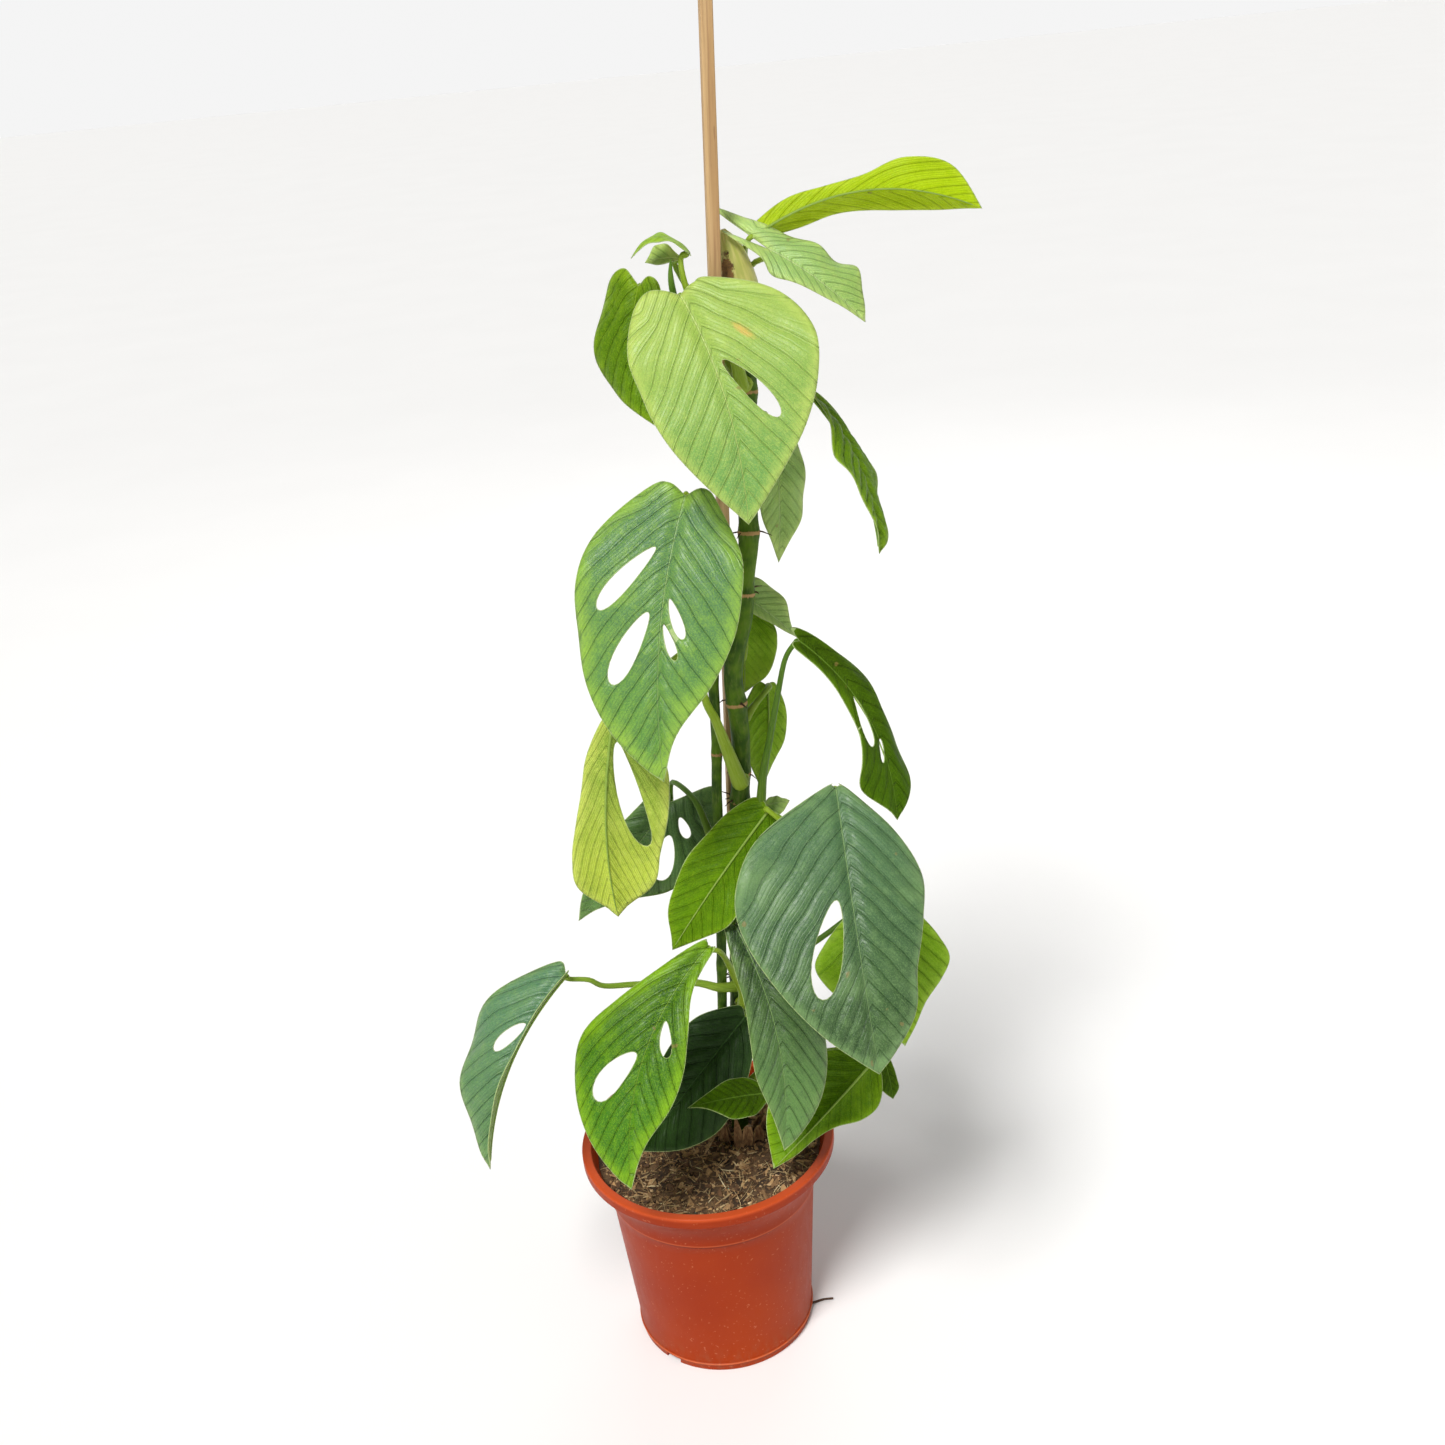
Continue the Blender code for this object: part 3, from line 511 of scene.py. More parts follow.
class Blade:
    """One leaf's surface: x runs from its stalk to its tip, y across it, both in metres."""

    def __init__(self, base, tip, face, left, right, arch=0, bow=0, fold=(0, 0), holes=(), droop=3,
                 skins=(), seed=0, burn=(), rake=0.85, relief=1.0):
        self.base = above_mix(base)
        chord = above_mix(tip) - self.base
        self.length = chord.length
        self.along = chord.normalized()
        turn, rise = radians(face[0]), radians(face[1])
        facing = Vector((sin(turn) * cos(rise), -cos(turn) * cos(rise), sin(rise)))
        self.up = (facing - self.along * facing.dot(self.along)).normalized()
        self.side = self.up.cross(self.along)
        self.bulge = self.up * arch * MM + self.side * bow * MM
        self.fold = [radians(angle) for angle in fold]
        self.widths = (left, right)
        self.lobed = left[0] > 0
        self.holes = holes
        self.droop = droop * MM
        self.skins = skins
        self.seed = seed
        self.burn = burn
        self.rake = rake
        self.relief = relief
        self.half = max(*left[1:], *right[1:]) * MM
        narrow, wide = SIDE_VEIN_GAPS
        self.spacing = max(narrow, min(wide, self.length / 9))

    def frame(self, x):
        """Point on the midrib, its direction, the way out of the upper side, and the way to the right."""
        t = x / self.length
        if t < 0:
            slope = self.along * self.length + 4 * self.bulge
            centre = self.base + slope * t
        else:
            slope = self.along * self.length + 4 * (1 - 2 * t) * self.bulge
            centre = self.base + self.along * x + 4 * t * (1 - t) * self.bulge
        ahead = slope.normalized()
        out = (self.up - ahead * self.up.dot(ahead)).normalized()
        return centre, ahead, out, out.cross(ahead)

    def outline(self, hand, steps=8):
        """The edge of one half (0 left, 1 right) from stalk to tip, as flat (x, y) points."""
        lobe, shoulder, *widths = [width * MM for width in self.widths[hand]]
        sixth = self.length / 6
        knots = [(0, 0), (-lobe, shoulder / 2), (0, shoulder)]
        knots += [(sixth * (i + 1), width) for i, width in enumerate(widths)] + [(self.length, 0)]
        line = smooth_route([Vector((*knot, 0)) for knot in knots], steps)
        way = 1 if hand else -1
        return [(point.x, point.y * way) for point in line]

    def vein(self, x, y):
        """Which side vein runs through a place: a whole number on a vein, a half between two."""
        out = abs(y)
        start = (x - self.rake * out - 0.28 * out * out / self.half) / (1 + 0.7 * out / self.length)
        wander = 0.22 * noise.noise(Vector((x * 40, y * 40, self.seed)))
        gap = self.spacing if start > 0 else max(self.spacing * 0.6, 0.34 * (x * x + y * y) ** 0.5)
        return start / gap + wander + (0.5 if y > 0 else 0.0)

    def burnt(self, x, y):
        """1 in the middle of a scorched streak, 0 away from it."""
        if not self.burn:
            return 0.0
        centre_x, centre_y, length, width, turn = self.burn
        ahead, across = x / MM - centre_x, y / MM - centre_y
        lean = radians(turn)
        far = (ahead * cos(lean) + across * sin(lean)) / length
        wide = (across * cos(lean) - ahead * sin(lean)) / width
        return exp(-4 * (far * far + wide * wide))

    def lift(self, x, y, margin):
        """How far the skin stands out of the plain bent sheet."""
        out = abs(y)
        t = x / self.length
        share = min(out / self.half, 1.2)
        pillow = abs(sin(pi * self.vein(x, y))) ** 0.7 - 0.5
        room = min(out / 0.006, 1) * min(margin / 0.007, 1) * min(self.half / 0.04, 1)
        trough = exp(-(out / 0.0045) ** 2)
        wave = sin(2 * pi * (2.3 * t + 0.31 * self.seed) + (1.9 if y > 0 else 0))
        ripple = noise.noise(Vector((x * 22, y * 22, self.seed + 7)))
        size = min(self.half / 0.03, 1)
        return (self.droop * (0.35 - share ** 2) + PILLOW * pillow * room * self.relief
                - TROUGH * trough * size + WAVE * wave * share ** 2 * size + RIPPLE * ripple * share * size)

    def point(self, x, y, margin=0.01):
        """Where a flat place lands on the bent leaf."""
        centre, _, out, side = self.frame(x)
        angle = self.fold[1 if y > 0 else 0]
        return (centre + side * y * cos(angle)
                + out * (abs(y) * sin(angle) + self.lift(x, y, margin)))


BLADES = {name: Blade(seed=i, **sizes) for i, (name, sizes) in enumerate(LEAVES.items())}
for name in ("leaf_middle_left", "leaf_low_front"):
    low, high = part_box(name)
    middle = BLADES[name].point(BLADES[name].length / 2, 0)
    print(name, "solid from", [round(v / MM) for v in low], "to", [round(v / MM) for v in high],
          "new middle", [round(v / MM) for v in middle])

# %% [markdown]
# ## From an outline to a sheet of triangles
#
# The outline is a closed line with windows inside it. A face with holes can't be bent well, because it has
# no points inside, and a square grid cut to shape leaves steps along the edge. So the outline, the windows
# and the midrib are kept as they are, rows of points are laid between them, and a Delaunay fill joins all of
# it into small triangles with clean edges.

# %% Filling a flat outline with small triangles
def gap_to(points, loop):
    """Distance of each point from a closed loop."""
    nearest = np.full(len(points), 1e9)
    for start, end in zip(loop, np.roll(loop, -1, axis=0)):
        run = end - start
        size = max(run @ run, 1e-12)
        share = np.clip((points - start) @ run / size, 0, 1)
        nearest = np.minimum(nearest, np.linalg.norm(points - start - share[:, None] * run, axis=1))
    return nearest


def inside(points, loop):
    """True for each point that lies inside a closed loop."""
    odd = np.zeros(len(points), bool)
    for start, end in zip(loop, np.roll(loop, -1, axis=0)):
        crosses = (start[1] > points[:, 1]) != (end[1] > points[:, 1])
        rise = end[1] - start[1] if end[1] != start[1] else 1e-12
        odd ^= crosses & (points[:, 0] < (end[0] - start[0]) * (points[:, 1] - start[1]) / rise + start[0])
    return odd


def window(x, y, length, width, turn, count=26):
    """A drop-shaped window, blunt towards the edge of the leaf."""
    ring = []
    for i in range(count):
        angle = 2 * pi * i / count
        along = cos(angle) * length / 2
        across = sin(angle) * width / 2 * (1 + 0.3 * cos(angle))
        lean = radians(turn)
        ring.append((x + along * cos(lean) - across * sin(lean), y + along * sin(lean) + across * cos(lean)))
    return np.array(ring)


def flat_leaf(blade, pitch):
    """Flat triangles of one leaf: points, triangles, and distances from any edge and from the outer edge."""
    left, right = blade.outline(0), blade.outline(1)
    rim = np.array(left + right[-2:0:-1]) / MM
    holes = [window(*hole) for hole in blade.holes]
    step = pitch / MM
    rib = np.arange(step, blade.length / MM - step / 2, step)
    rib = np.stack([rib, np.zeros_like(rib)], axis=1)
    low, high = rim.min(axis=0), rim.max(axis=0)
    rows = []
    for j, y in enumerate(np.arange(low[1], high[1], step * 0.87)):
        xs = np.arange(low[0] + (j % 2) * step / 2, high[0], step)
        rows.append(np.stack([xs, np.full_like(xs, y)], axis=1))
    grid = np.concatenate(rows)
    room = 0.6 * step
    good = inside(grid, rim) & (gap_to(grid, rim) > room) & (np.abs(grid[:, 1]) > 0.5 * step)
    for hole in holes:
        good &= ~inside(grid, hole) & (gap_to(grid, hole) > room)
    places, edges = [], []
    for loop, closed in [(rim, True), (rib, False)] + [(hole, True) for hole in holes]:
        first = sum(len(part) for part in places)
        edges += [(first + i, first + i + 1) for i in range(len(loop) - 1)]
        if closed:
            edges.append((first + len(loop) - 1, first))
        places.append(loop)
    places.append(grid[good])
    flat = [Vector(place) for place in np.concatenate(places)]
    verts, _, faces, *_ = delaunay_2d_cdt(flat, edges, [], 0, 1e-4)
    points = np.array(verts)
    faces = [face for face in faces if len(face) == 3]
    middles = points[np.array(faces)].mean(axis=1)
    wanted = inside(middles, rim)
    brim = gap_to(points, rim)
    margin = brim
    for hole in holes:
        wanted &= ~inside(middles, hole)
        margin = np.minimum(margin, gap_to(points, hole))
    return points * MM, [face for face, want in zip(faces, wanted) if want], margin, brim


print("window of 50 by 12 mm:", len(window(0, 0, 50, 12, 0)), "points")

# %% [markdown]
# ## Leaf skin
#
# The upper side of a full-grown leaf is a deep blue green with a satin shine, a paler midrib and a fine
# pale line along the edge. New leaves are light and yellowish, and the under sides glow lime where light
# comes through. A picture of a leaf could be laid on each, but it wouldn't fit the outlines. So one recipe
# makes them all, from five colours, the width of the pale band along the edge and a shine. The marks on the
# mesh drive it, so veins in the colour run exactly where the skin is creased. Thin skin lets a little light
# through, which is the small subsurface share.

# %% Leaf colours
LEAF_COLOURS = {
    # base, tip, edge, band of the edge colour in mm, side veins and the painted shade beside them, midrib,
    # shine
    "light": ("98B450", "62964A", "B8CC64", 8, "90B252", "C2D47C", 0.35),
    "sea": ("56804E", "5A8C36", "96BE3C", 12, "3E6440", "94B472", 0.5),
    # slate: its own grey blue-green, plus painted shade, as the tip colour is much darker than the base
    "slate": ("4E724A", "2E4E1A", "76985C", 6, "345430", "86A668", 0.45),
    # shade: painted shade, near black by the stalk and lighter towards the tip
    "shade": ("243E1A", "5C8440", "6C8C48", 5, "20381A", "7E9E5A", 0.45),
    "bright": ("386010", "427C0C", "88B612", 10, "2C4C0C", "7CA032", 0.3),
    "night": ("1E3612", "26440E", "365222", 4, "16290C", "466634", 0.15),
    "moss": ("344C04", "3E5E04", "54760C", 4, "2A3E06", "6E9034", 0.05),
    "dusk": ("4A6C34", "58803A", "6E9048", 5, "38562A", "84A060", 0.4),
    "far": ("54805A", "587E4A", "7CA05A", 6, "42684A", "90AE76", 0.5),
    "grass": ("4C7006", "5E840C", "86A81C", 6, "3E5E06", "86A630", 0.12),
    "spring": ("96BA68", "8CAE54", "B8D070", 5, "88AC62", "C0D492", 0.35),
    "vivid": ("96B004", "A4C00A", "B8D02C", 4, "8EAA06", "C4D450", 0.1),
    "lime": ("4C7006", "5C840A", "7A9E16", 5, "3E6206", "6C8E1C", 0.08),
    "leafy": ("7AA616", "92BA2A", "A0C43C", 6, "50780E", "94B440", 0.12),
    "olive": ("84A038", "BED046", "D0DC66", 8, "769434", "CCD872", 0.16),
    "pale": ("72904E", "7C9E50", "9CB468", 4, "8CA266", "AEC27C", 0.2),
}
print("leaf tones", len(LEAF_COLOURS))


# %% A recipe for leaf skin
def leaf_finish(name, base, tip, edge, band, vein, rib, shine, under):
    """Skin from its colours. The under side's veins are fainter, and stand out where the upper's lie deep."""
    skin = Finish(name, Roughness=0.42, Subsurface_Weight=0.08, Subsurface_Scale=0.001,
                  Subsurface_Radius=(0.5, 1.0, 0.2), Specular_IOR_Level=shine)
    way, painted_trough_shade_share, main_share, rib_share = (1.0, 0.05, 0.2, 0.75) if under else (-1.0, 0.14, 0.4, 0.6)
    place, along, phase = skin.place(), skin.number("along"), skin.number("vein")
    patches = skin.cloud(place, 26, 4, 0.55)
    mottle = skin.cloud(place, 120, 4, 0.65)
    fine = skin.cloud(place, 300, 4, 0.7)
    grains = skin.cells(place, 1100, "F1")
    net = skin.fade(skin.cells(place, 330, "DISTANCE_TO_EDGE"), 0.0, 0.09, 1, 0)
    spots = skin.fade(skin.cloud(place, 95, 2, 0.4), 0.745, 0.78)
    reach = skin.plus(skin.number("brim"), skin.times(patches, -band * 1.6))
    burn = skin.fade(skin.plus(skin.number("burn"), skin.times(fine, 0.6)), 0.75, 1.25)
    # main is each side vein's own darker line; the wider band round it is painted shade beside the veins,
    # strongest on the upper side where they lie sunken
    main, painted_trough_shade = skin.line(phase, 0.055), skin.line(phase, 0.3)
    small = skin.line(skin.plus(skin.times(phase, 4), skin.times(patches, 1.2)), 0.2)
    beside_rib = skin.maths("DIVIDE", skin.number("rib"), skin.minus(1.5, along))
    middle = skin.fade(beside_rib, 0.2, 0.55, rib_share, 0)
    colour = skin.mix(skin.fade(along, 0.05, 1.0), base, tip)
    colour = skin.coats(colour, [
        (skin.fade(patches, 0.5, 0.78, 0, 0.5), edge),
        (skin.fade(patches, 0.45, 0.25, 0, 0.35), vein),
        (skin.fade(reach, -band * 0.8, band * 0.3, 0.7, 0), edge),
        (skin.fade(mottle, 0.5, 0.75, 0, 0.35), edge),
        (skin.fade(mottle, 0.48, 0.25, 0, 0.4), vein),
        (skin.fade(fine, 0.54, 0.7, 0, 0.3), edge),
        (skin.fade(fine, 0.46, 0.3, 0, 0.35), vein),
        (skin.times(burn, 0.85), "D9B25E"),
        (skin.times(net, 0.1), vein),
        (skin.times(small, 0.1), vein),
        # painted shade in the troughs beside the side veins
        (skin.times(painted_trough_shade, painted_trough_shade_share), vein),
        (skin.times(main, main_share), vein),
        (middle, rib),
        (skin.fade(skin.number("margin"), 0.2, 0.6, 0.7, 0), "B9C98A"),
        (skin.fade(grains, 0.15, 0.6, 0.4, 0), edge),
        (skin.times(spots, 0.55), "8A7440")])
    height = skin.times(main, 0.8 * way)
    for layer, depth in ((small, 0.25 * way), (middle, 1.1 * way), (fine, 0.4), (mottle, 0.7)):
        height = skin.plus(height, skin.times(layer, depth))
    return skin.finish(colour, skin.fade(fine, 0.3, 0.7, 0.36, 0.5), skin.bump(height, 0.0008, 0.9))


LEAF_SKINS = {}
for tone, colours in LEAF_COLOURS.items():
    LEAF_SKINS[tone] = (leaf_finish("leaf_" + tone, *colours, under=False),
                        leaf_finish("leaf_under_" + tone, *colours, under=True))
print("leaf finishes", len(LEAF_SKINS) * 2)

# %% Making the leaves
FINEST, COARSEST = 0.0013, 0.0026     # sides of the triangles, in metres
SKIN_THICKNESS = 0.00045


def make_leaf(name, blade):
    """One leaf: filled flat, bent point by point, marked for its finish and given a thickness."""
    flat, faces, margin, brim = flat_leaf(blade, max(FINEST, min(COARSEST, blade.half / 11)))
    mesh = bpy.data.meshes.new(name)
    places = flat.tolist()
    mesh.from_pydata([blade.point(x, y, gap * MM) for (x, y), gap in zip(places, margin.tolist())], [], faces)
    marks = {"rib": np.abs(flat[:, 1]) / MM, "along": np.clip(flat[:, 0] / blade.length, 0, 1),
             "vein": [blade.vein(x, y) for x, y in places], "burn": [blade.burnt(x, y) for x, y in places],
             "margin": margin, "brim": brim}
    for key, values in marks.items():
        mesh.attributes.new(key, "FLOAT", "POINT").data.foreach_set("value", np.array(values, np.float32))
    upper, under = blade.skins
    for material in (LEAF_SKINS[upper][0], LEAF_SKINS[under][1]):
        mesh.materials.append(material)
    mesh.shade_smooth()
    item = placed(name, mesh)
    skin = item.modifiers.new("Thickness", "SOLIDIFY")
    skin.thickness = SKIN_THICKNESS
    skin.offset = 0
    skin.material_offset = 1
    skin.material_offset_rim = 1
    return item, len(faces)


triangles = 0
for name, blade in BLADES.items():
    leaf, count = make_leaf("new_" + name, blade)
    keep(leaf, "leaf_skin", name)
    triangles += 2 * count
print("leaf triangles", triangles)

# %% [markdown]
# ## Stems and stalks
#
# The main stem climbs in front of the stake. Every place where a leaf sat is a joint, a little thicker
# and ringed with a tan scar. Each leaf stalk starts in a clasping sheath, thins out, and thickens again
# in a short knee just under the blade, where the leaf turns to the light. A stack of cylinders would
# show breaks, so the same sweep as before makes them, with the thickness changing from point to point.
# Under every blade the midrib stands out as a ridge, and that is one more set of swept lines.

# %% Stem and stalk routes
MAIN_ROUTE = [(27, 0, 20), (37, 0, 149), (42, 0, 215), (49, 0, 278), (53, 0, 317), (53, 0, 345),
              (52, 0, 368), (55, 0, 387), (62, 1, 410), (66, 4, 437), (71, 8, 463), (73, 12, 489),
              (78, 18, 553), (81, 22, 581)]
SECOND_ROUTE = [(14, 10, 30), (22, 11, 120), (28, 11, 204), (33, 12, 283), (36, 14, 320),
                (38, 20, 355), (40, 28, 396)]
TIP_ROUTE = [(83, 44, 600, 10), (81, 45, 622, 11.5), (77, 45, 642, 9), (74, 45, 653, 5), (73, 45, 658, 1.5)]
SIDE_ROOT = [(50, -11, 3.2), (58, -12, 1.4), (68, -11, 1.2), (76, -9, 1.2), (84, -10, 2.0)]
ROOTING = 0.045
JOINTS = [44, 90, 134, 178, 222, 252, 279, 300, 352, 428, 468, 502, 531, 558]
SECOND_JOINTS = [70, 150, 222, 258, 318, 372]

print("the main stem passes", len(MAIN_ROUTE), "places and the thin one", len(SECOND_ROUTE))

# %% Where each stalk leaves its stem
# The stem that a stalk leaves, its height there, the side (degrees to the right of the front), and the
# places it passes when it doesn't rise in one plain curve.
STALKS = {
    "leaf_top_right": ("main", 555, 150, [(84, 59, 592), (86, 59, 636)]),
    "leaf_top_inner": ("main", 530, 150, [(84, 57, 580), (87, 56, 628)]),
    "leaf_top_left": ("main", 560, -130, []),
    "leaf_top_front": ("main", 520, -50, []),
    "leaf_young_arched": ("main", 565, -25, [(70, 19, 588), (54, 17, 606), (46, 20, 628)]),
    "leaf_young_curled": ("main", 572, -110, [(50, 40, 620)]),
    "leaf_high_right": ("main", 500, 70, []),
    "leaf_high_back": ("main", 530, 165, [(84, 44, 538), (91, 56, 538)]),
    "leaf_middle_left": ("main", 298, -10, [(43, 3, 324), (37, 1, 348), (31, 5, 366), (30, 8, 410),
                                            (34, 10, 460)]),
    "leaf_middle_hanging": ("second", 385, -90, []),
    "leaf_middle_dark": ("second", 255, -130, [(18, 30, 276), (4, 62, 277)]),
    "leaf_low_inner": ("main", 246, 80, [(74, 10, 256), (84, 0, 262), (77, -9, 270)]),
    "leaf_low_front": ("main", 220, 95, [(72, 10, 235), (98, -14, 275)]),
    "leaf_low_right": ("main", 125, 110, [(98, 34, 148), (136, 42, 166)]),
    "leaf_low_small_right": ("main", 35, 90, []),
    "leaf_low_under": ("main", 75, 60, [(88, -6, 92), (116, -16, 82)]),
    "leaf_low_centre": ("main", 175, 10, []),
    "leaf_front_left": ("main", 118, 15, [(37, 0, 134), (32, -10, 153), (27, -22, 175), (22, -36, 192)]),
    "leaf_far_left": ("main", 133, -15, [(20, 2, 138), (2, 0, 146), (-38, -12, 158), (-60, -20, 165),
                                        (-70, -24, 174)]),
    "leaf_low_dark": ("main", 90, 0, []),
    "leaf_low_small": ("main", 40, 10, []),
    "leaf_back_upper": ("main", 418, 150, [(64, 40, 422), (60, 48, 424)]),
    "leaf_middle_right": ("main", 258, 70, [(62, 10, 275), (66, 8, 301), (72, 4, 328), (80, 0, 363),
                                            (86, -4, 388)]),
    "leaf_back_middle": ("main", 382, 120, []),
    "leaf_back_lower": ("main", 338, 110, []),
    "leaf_middle_round": ("main", 245, 110, []),
}
print("stalks", len(STALKS), "joints on the main stem", len(JOINTS))


# %% From the stem to the back of a blade
def rooted(points):
    """The route with one more place at its start, down in the mix."""
    start = points[0] - (points[1] - points[0]).normalized() * (ROOTING + points[0].z - MIX_TOP)
    return [start] + points


main_places = [Vector((x * MM, STEM_FRONT + back * MM, MIX_TOP + z * MM)) for x, back, z in MAIN_ROUTE]
STEMS = {"main": (rooted(main_places), STEM_RADIUS),
         "second": (rooted([above_mix(point) for point in SECOND_ROUTE]), SECOND_RADIUS)}


def stem_centre(stem, height):
    """The middle of a stem at a height over the mix, in metres."""
    route = STEMS[stem][0]
    level = MIX_TOP + height
    for low, high in zip(route, route[1:]):
        if low.z <= level <= high.z:
            return low.lerp(high, (level - low.z) / (high.z - low.z))
    return route[-1]


def stalk_route(blade, stem, height, side, passes):
    """From inside the stem's skin out and up, and into the back of the blade."""
    turn = radians(side)
    away = Vector((sin(turn), -cos(turn), 0))
    start = stem_centre(stem, height * MM) + away * (STEMS[stem][1] * 0.8)
    _, way, out, _ = blade.frame(0)
    way = out if blade.lobed else way
    end = blade.point(0, 0) - way * 0.0006
    if passes:
        between = [above_mix(place) for place in passes]
        return smooth_route([start, start + away * 0.004, *between, end - way * 0.006, end], 5)
    reach = (end - start).length
    first = start + (away * 0.35 + Vector((0, 0, 0.65))) * reach * 0.5
    return interpolate_bezier(start, first, end - way * reach * 0.35, end, 30)


STALK_FOOT, STALK_TAPER, STALK_SHEATH, STALK_KNEE = 0.0023, 0.0007, 0.0016, 0.0006     # radii


def stalk_girth(share, length, lobed):
    """Sheath at the foot, slim middle, and a knee just under the blade."""
    sheath = STALK_SHEATH * exp(-(share / 0.28) ** 2)
    from_tip = (1 - share) * length
    knee = STALK_KNEE * exp(-((from_tip - 0.007) / 0.006) ** 2) if lobed else 0
    return STALK_FOOT - STALK_TAPER * share + sheath * min(1, length / 0.08) + knee


print("a stalk of 100 mm is", round(stalk_girth(0, 0.1, True) * 2 / MM, 1), "mm thick at its foot")

# %% [markdown]
# ## Bark and stalk finishes
#
# Bark and stalks are streaked along their growth. Noise on plain coordinates would lie across a bent stalk,
# so it is read from the two marks of the sweep instead: stretched out along the distance run, and wrapped
# round by the direction. A third mark says where the tan scars are on a stem, and how far up a stalk one is.

# %% Bark and stalk finishes
def streaks(skin, across, along):
    """Noise drawn out along a swept piece, and round it."""
    sideways = {axis: skin.times(skin.add("ShaderNodeSeparateXYZ", {"Vector": skin.arrow("round")}, out=axis),
                                 across) for axis in "XY"}
    return skin.add("ShaderNodeCombineXYZ", {**sideways, "Z": skin.times(skin.number("run"), along)})


def stem_finish(name, dark, light, scar):
    """Mottled green bark, streaked along the stem, with ragged scars at its joints."""
    skin = Finish(name, Specular_IOR_Level=0.15)
    grain = skin.cloud(streaks(skin, 2.2, 90), 1.6, 4, 0.6)
    mottle = skin.cloud(skin.place(), 70, 3, 0.5)
    flakes = skin.fade(skin.cloud(streaks(skin, 3.0, 260), 2.0, 5, 0.7), 0.62, 0.7)
    ragged = skin.plus(skin.number("mark"), skin.times(skin.minus(grain, 0.5), 0.9))
    colour = skin.coats(skin.mix(skin.fade(mottle, 0.35, 0.7), dark, light), [
        (skin.fade(grain, 0.45, 0.75, 0, 0.5), "6F7F3C"),
        (skin.fade(ragged, 0.45, 0.75), scar),
        (skin.times(flakes, 0.55), "8A6B40")])
    height = skin.plus(skin.times(grain, 0.6), skin.times(ragged, 0.5))
    return skin.finish(colour, skin.fade(mottle, 0.3, 0.7, 0.45, 0.65), skin.bump(height, 0.0008, 0.8))


def stalk_finish(name, green, light):
    """Smooth green skin, paler at the foot, with flecks and a few dry scars."""
    skin = Finish(name, Subsurface_Weight=0.1, Subsurface_Scale=0.002, Subsurface_Radius=(0.6, 1.0, 0.2),
                  Specular_IOR_Level=0.18)
    grain = skin.cloud(streaks(skin, 3.0, 60), 1.5, 4, 0.55)
    flecks = skin.fade(skin.cloud(streaks(skin, 4.0, 400), 2.4, 3, 0.6), 0.66, 0.74)
    scar = skin.fade(skin.cloud(skin.place(), 48, 3, 0.6), 0.68, 0.74)
    colour = skin.coats(skin.mix(skin.fade(grain, 0.3, 0.7), green, light), [
        (skin.fade(skin.number("mark"), 0.0, 0.5, 0.4, 0), "95A83A"),
        (skin.times(flecks, 0.5), "C9CF9A"),
        (skin.times(scar, 0.5), "9A7A48")])
    return skin.finish(colour, skin.fade(grain, 0.3, 0.7, 0.34, 0.5), skin.bump(grain, 0.0005, 0.6))


STEM_SKIN = stem_finish("stem_bark", "30500E", "5A7A1A", "B08B5A")
STALK_SKINS = {"green": stalk_finish("stalk_green", "6A8A24", "8AA438"),
               "lime": stalk_finish("stalk_lime", "7E9A14", "93AB3A"),
               "dark": stalk_finish("stalk_dark", "446818", "5E8024")}
RIB_SKIN = stalk_finish("rib_pale", "7E9C3C", "98B254")
print("stem finish", STEM_SKIN.name)


# %% Stems and stalks
def stem_points(key, joints, thickness):
    """A stem with a swelling and a scar at each joint."""
    route = []
    for place in smooth_route(STEMS[key][0], 16):
        height = (place.z - MIX_TOP) / MM
        nearest = min(abs(height - joint) for joint in joints)
        swell = exp(-(nearest / 4.5) ** 2)
        waver = noise.noise(place * 70) * 0.05
        sway = Vector((noise.noise(place * 30), noise.noise(place * 30 + Vector((9, 0, 0))), 0)) * 0.0006
        route.append((place + sway, thickness * (0.9 + 0.13 * swell + waver), exp(-(nearest / 1.5) ** 2)))
    return route


for name, key, joints, radius, sides, node in (
        ("climbing_stem", "main", JOINTS, STEM_RADIUS, 20, "main_stem"),
        ("thin_stem", "second", SECOND_JOINTS, SECOND_RADIUS, 16, "second_stem")):
    keep(swept(name, [stem_points(key, joints, radius)], STEM_SKIN, sides), "stem_skin", node)

# Stalks that are thicker at the foot than the rest, and those that aren't plain green.
STALK_GIRTHS = {"leaf_middle_left": 1.75, "leaf_middle_right": 1.5, "leaf_front_left": 1.5,
                "leaf_young_arched": 1.7, "leaf_far_left": 1.25, "leaf_low_front": 1.2}
STALK_TONES = dict.fromkeys(("leaf_young_arched", "leaf_front_left", "leaf_middle_left", "leaf_top_right",
                             "leaf_top_inner", "leaf_low_inner", "leaf_low_under"), "lime")
STALK_TONES.update(dict.fromkeys(("leaf_middle_dark", "leaf_low_right", "leaf_middle_right"), "dark"))
for name, blade in BLADES.items():
    route = stalk_route(blade, *STALKS[name])
    length = sum((b - a).length for a, b in zip(route, route[1:]))
    last = len(route) - 1
    thick = STALK_GIRTHS.get(name, 1.0)
    marked = []
    for i, place in enumerate(route):
        extra = 1 + (thick - 1) * max(0, 1 - 1.3 * i / last)
        marked.append((place, stalk_girth(i / last, length, blade.lobed) * extra, i / last))
    tone = STALK_SKINS[STALK_TONES.get(name, "green")]
    stalk = swept(name.replace("leaf", "new_stalk"), [marked], tone, 12)
    keep(stalk, "stalk_skin", name.replace("leaf", "stalk"))
print("stalks made", len(BLADES))

# %% The ridges under the blades
RIDGE_STEPS = 24
ridges = []
for blade in BLADES.values():
    ridge = []
    for i in range(RIDGE_STEPS):
        x = blade.length * i / RIDGE_STEPS
        _, _, out, _ = blade.frame(x)
        size = min(1.0, blade.half / 0.03) * (1 - i / RIDGE_STEPS)
        girth = 0.0003 + 0.0007 * size
        ridge.append((blade.point(x, 0) - out * (girth + 0.0001), girth, 1.0))
    ridges.append(ridge)
keep(swept("midrib_ridges", ridges, RIB_SKIN, 8), "stalk_skin")
print("ridges", len(ridges))

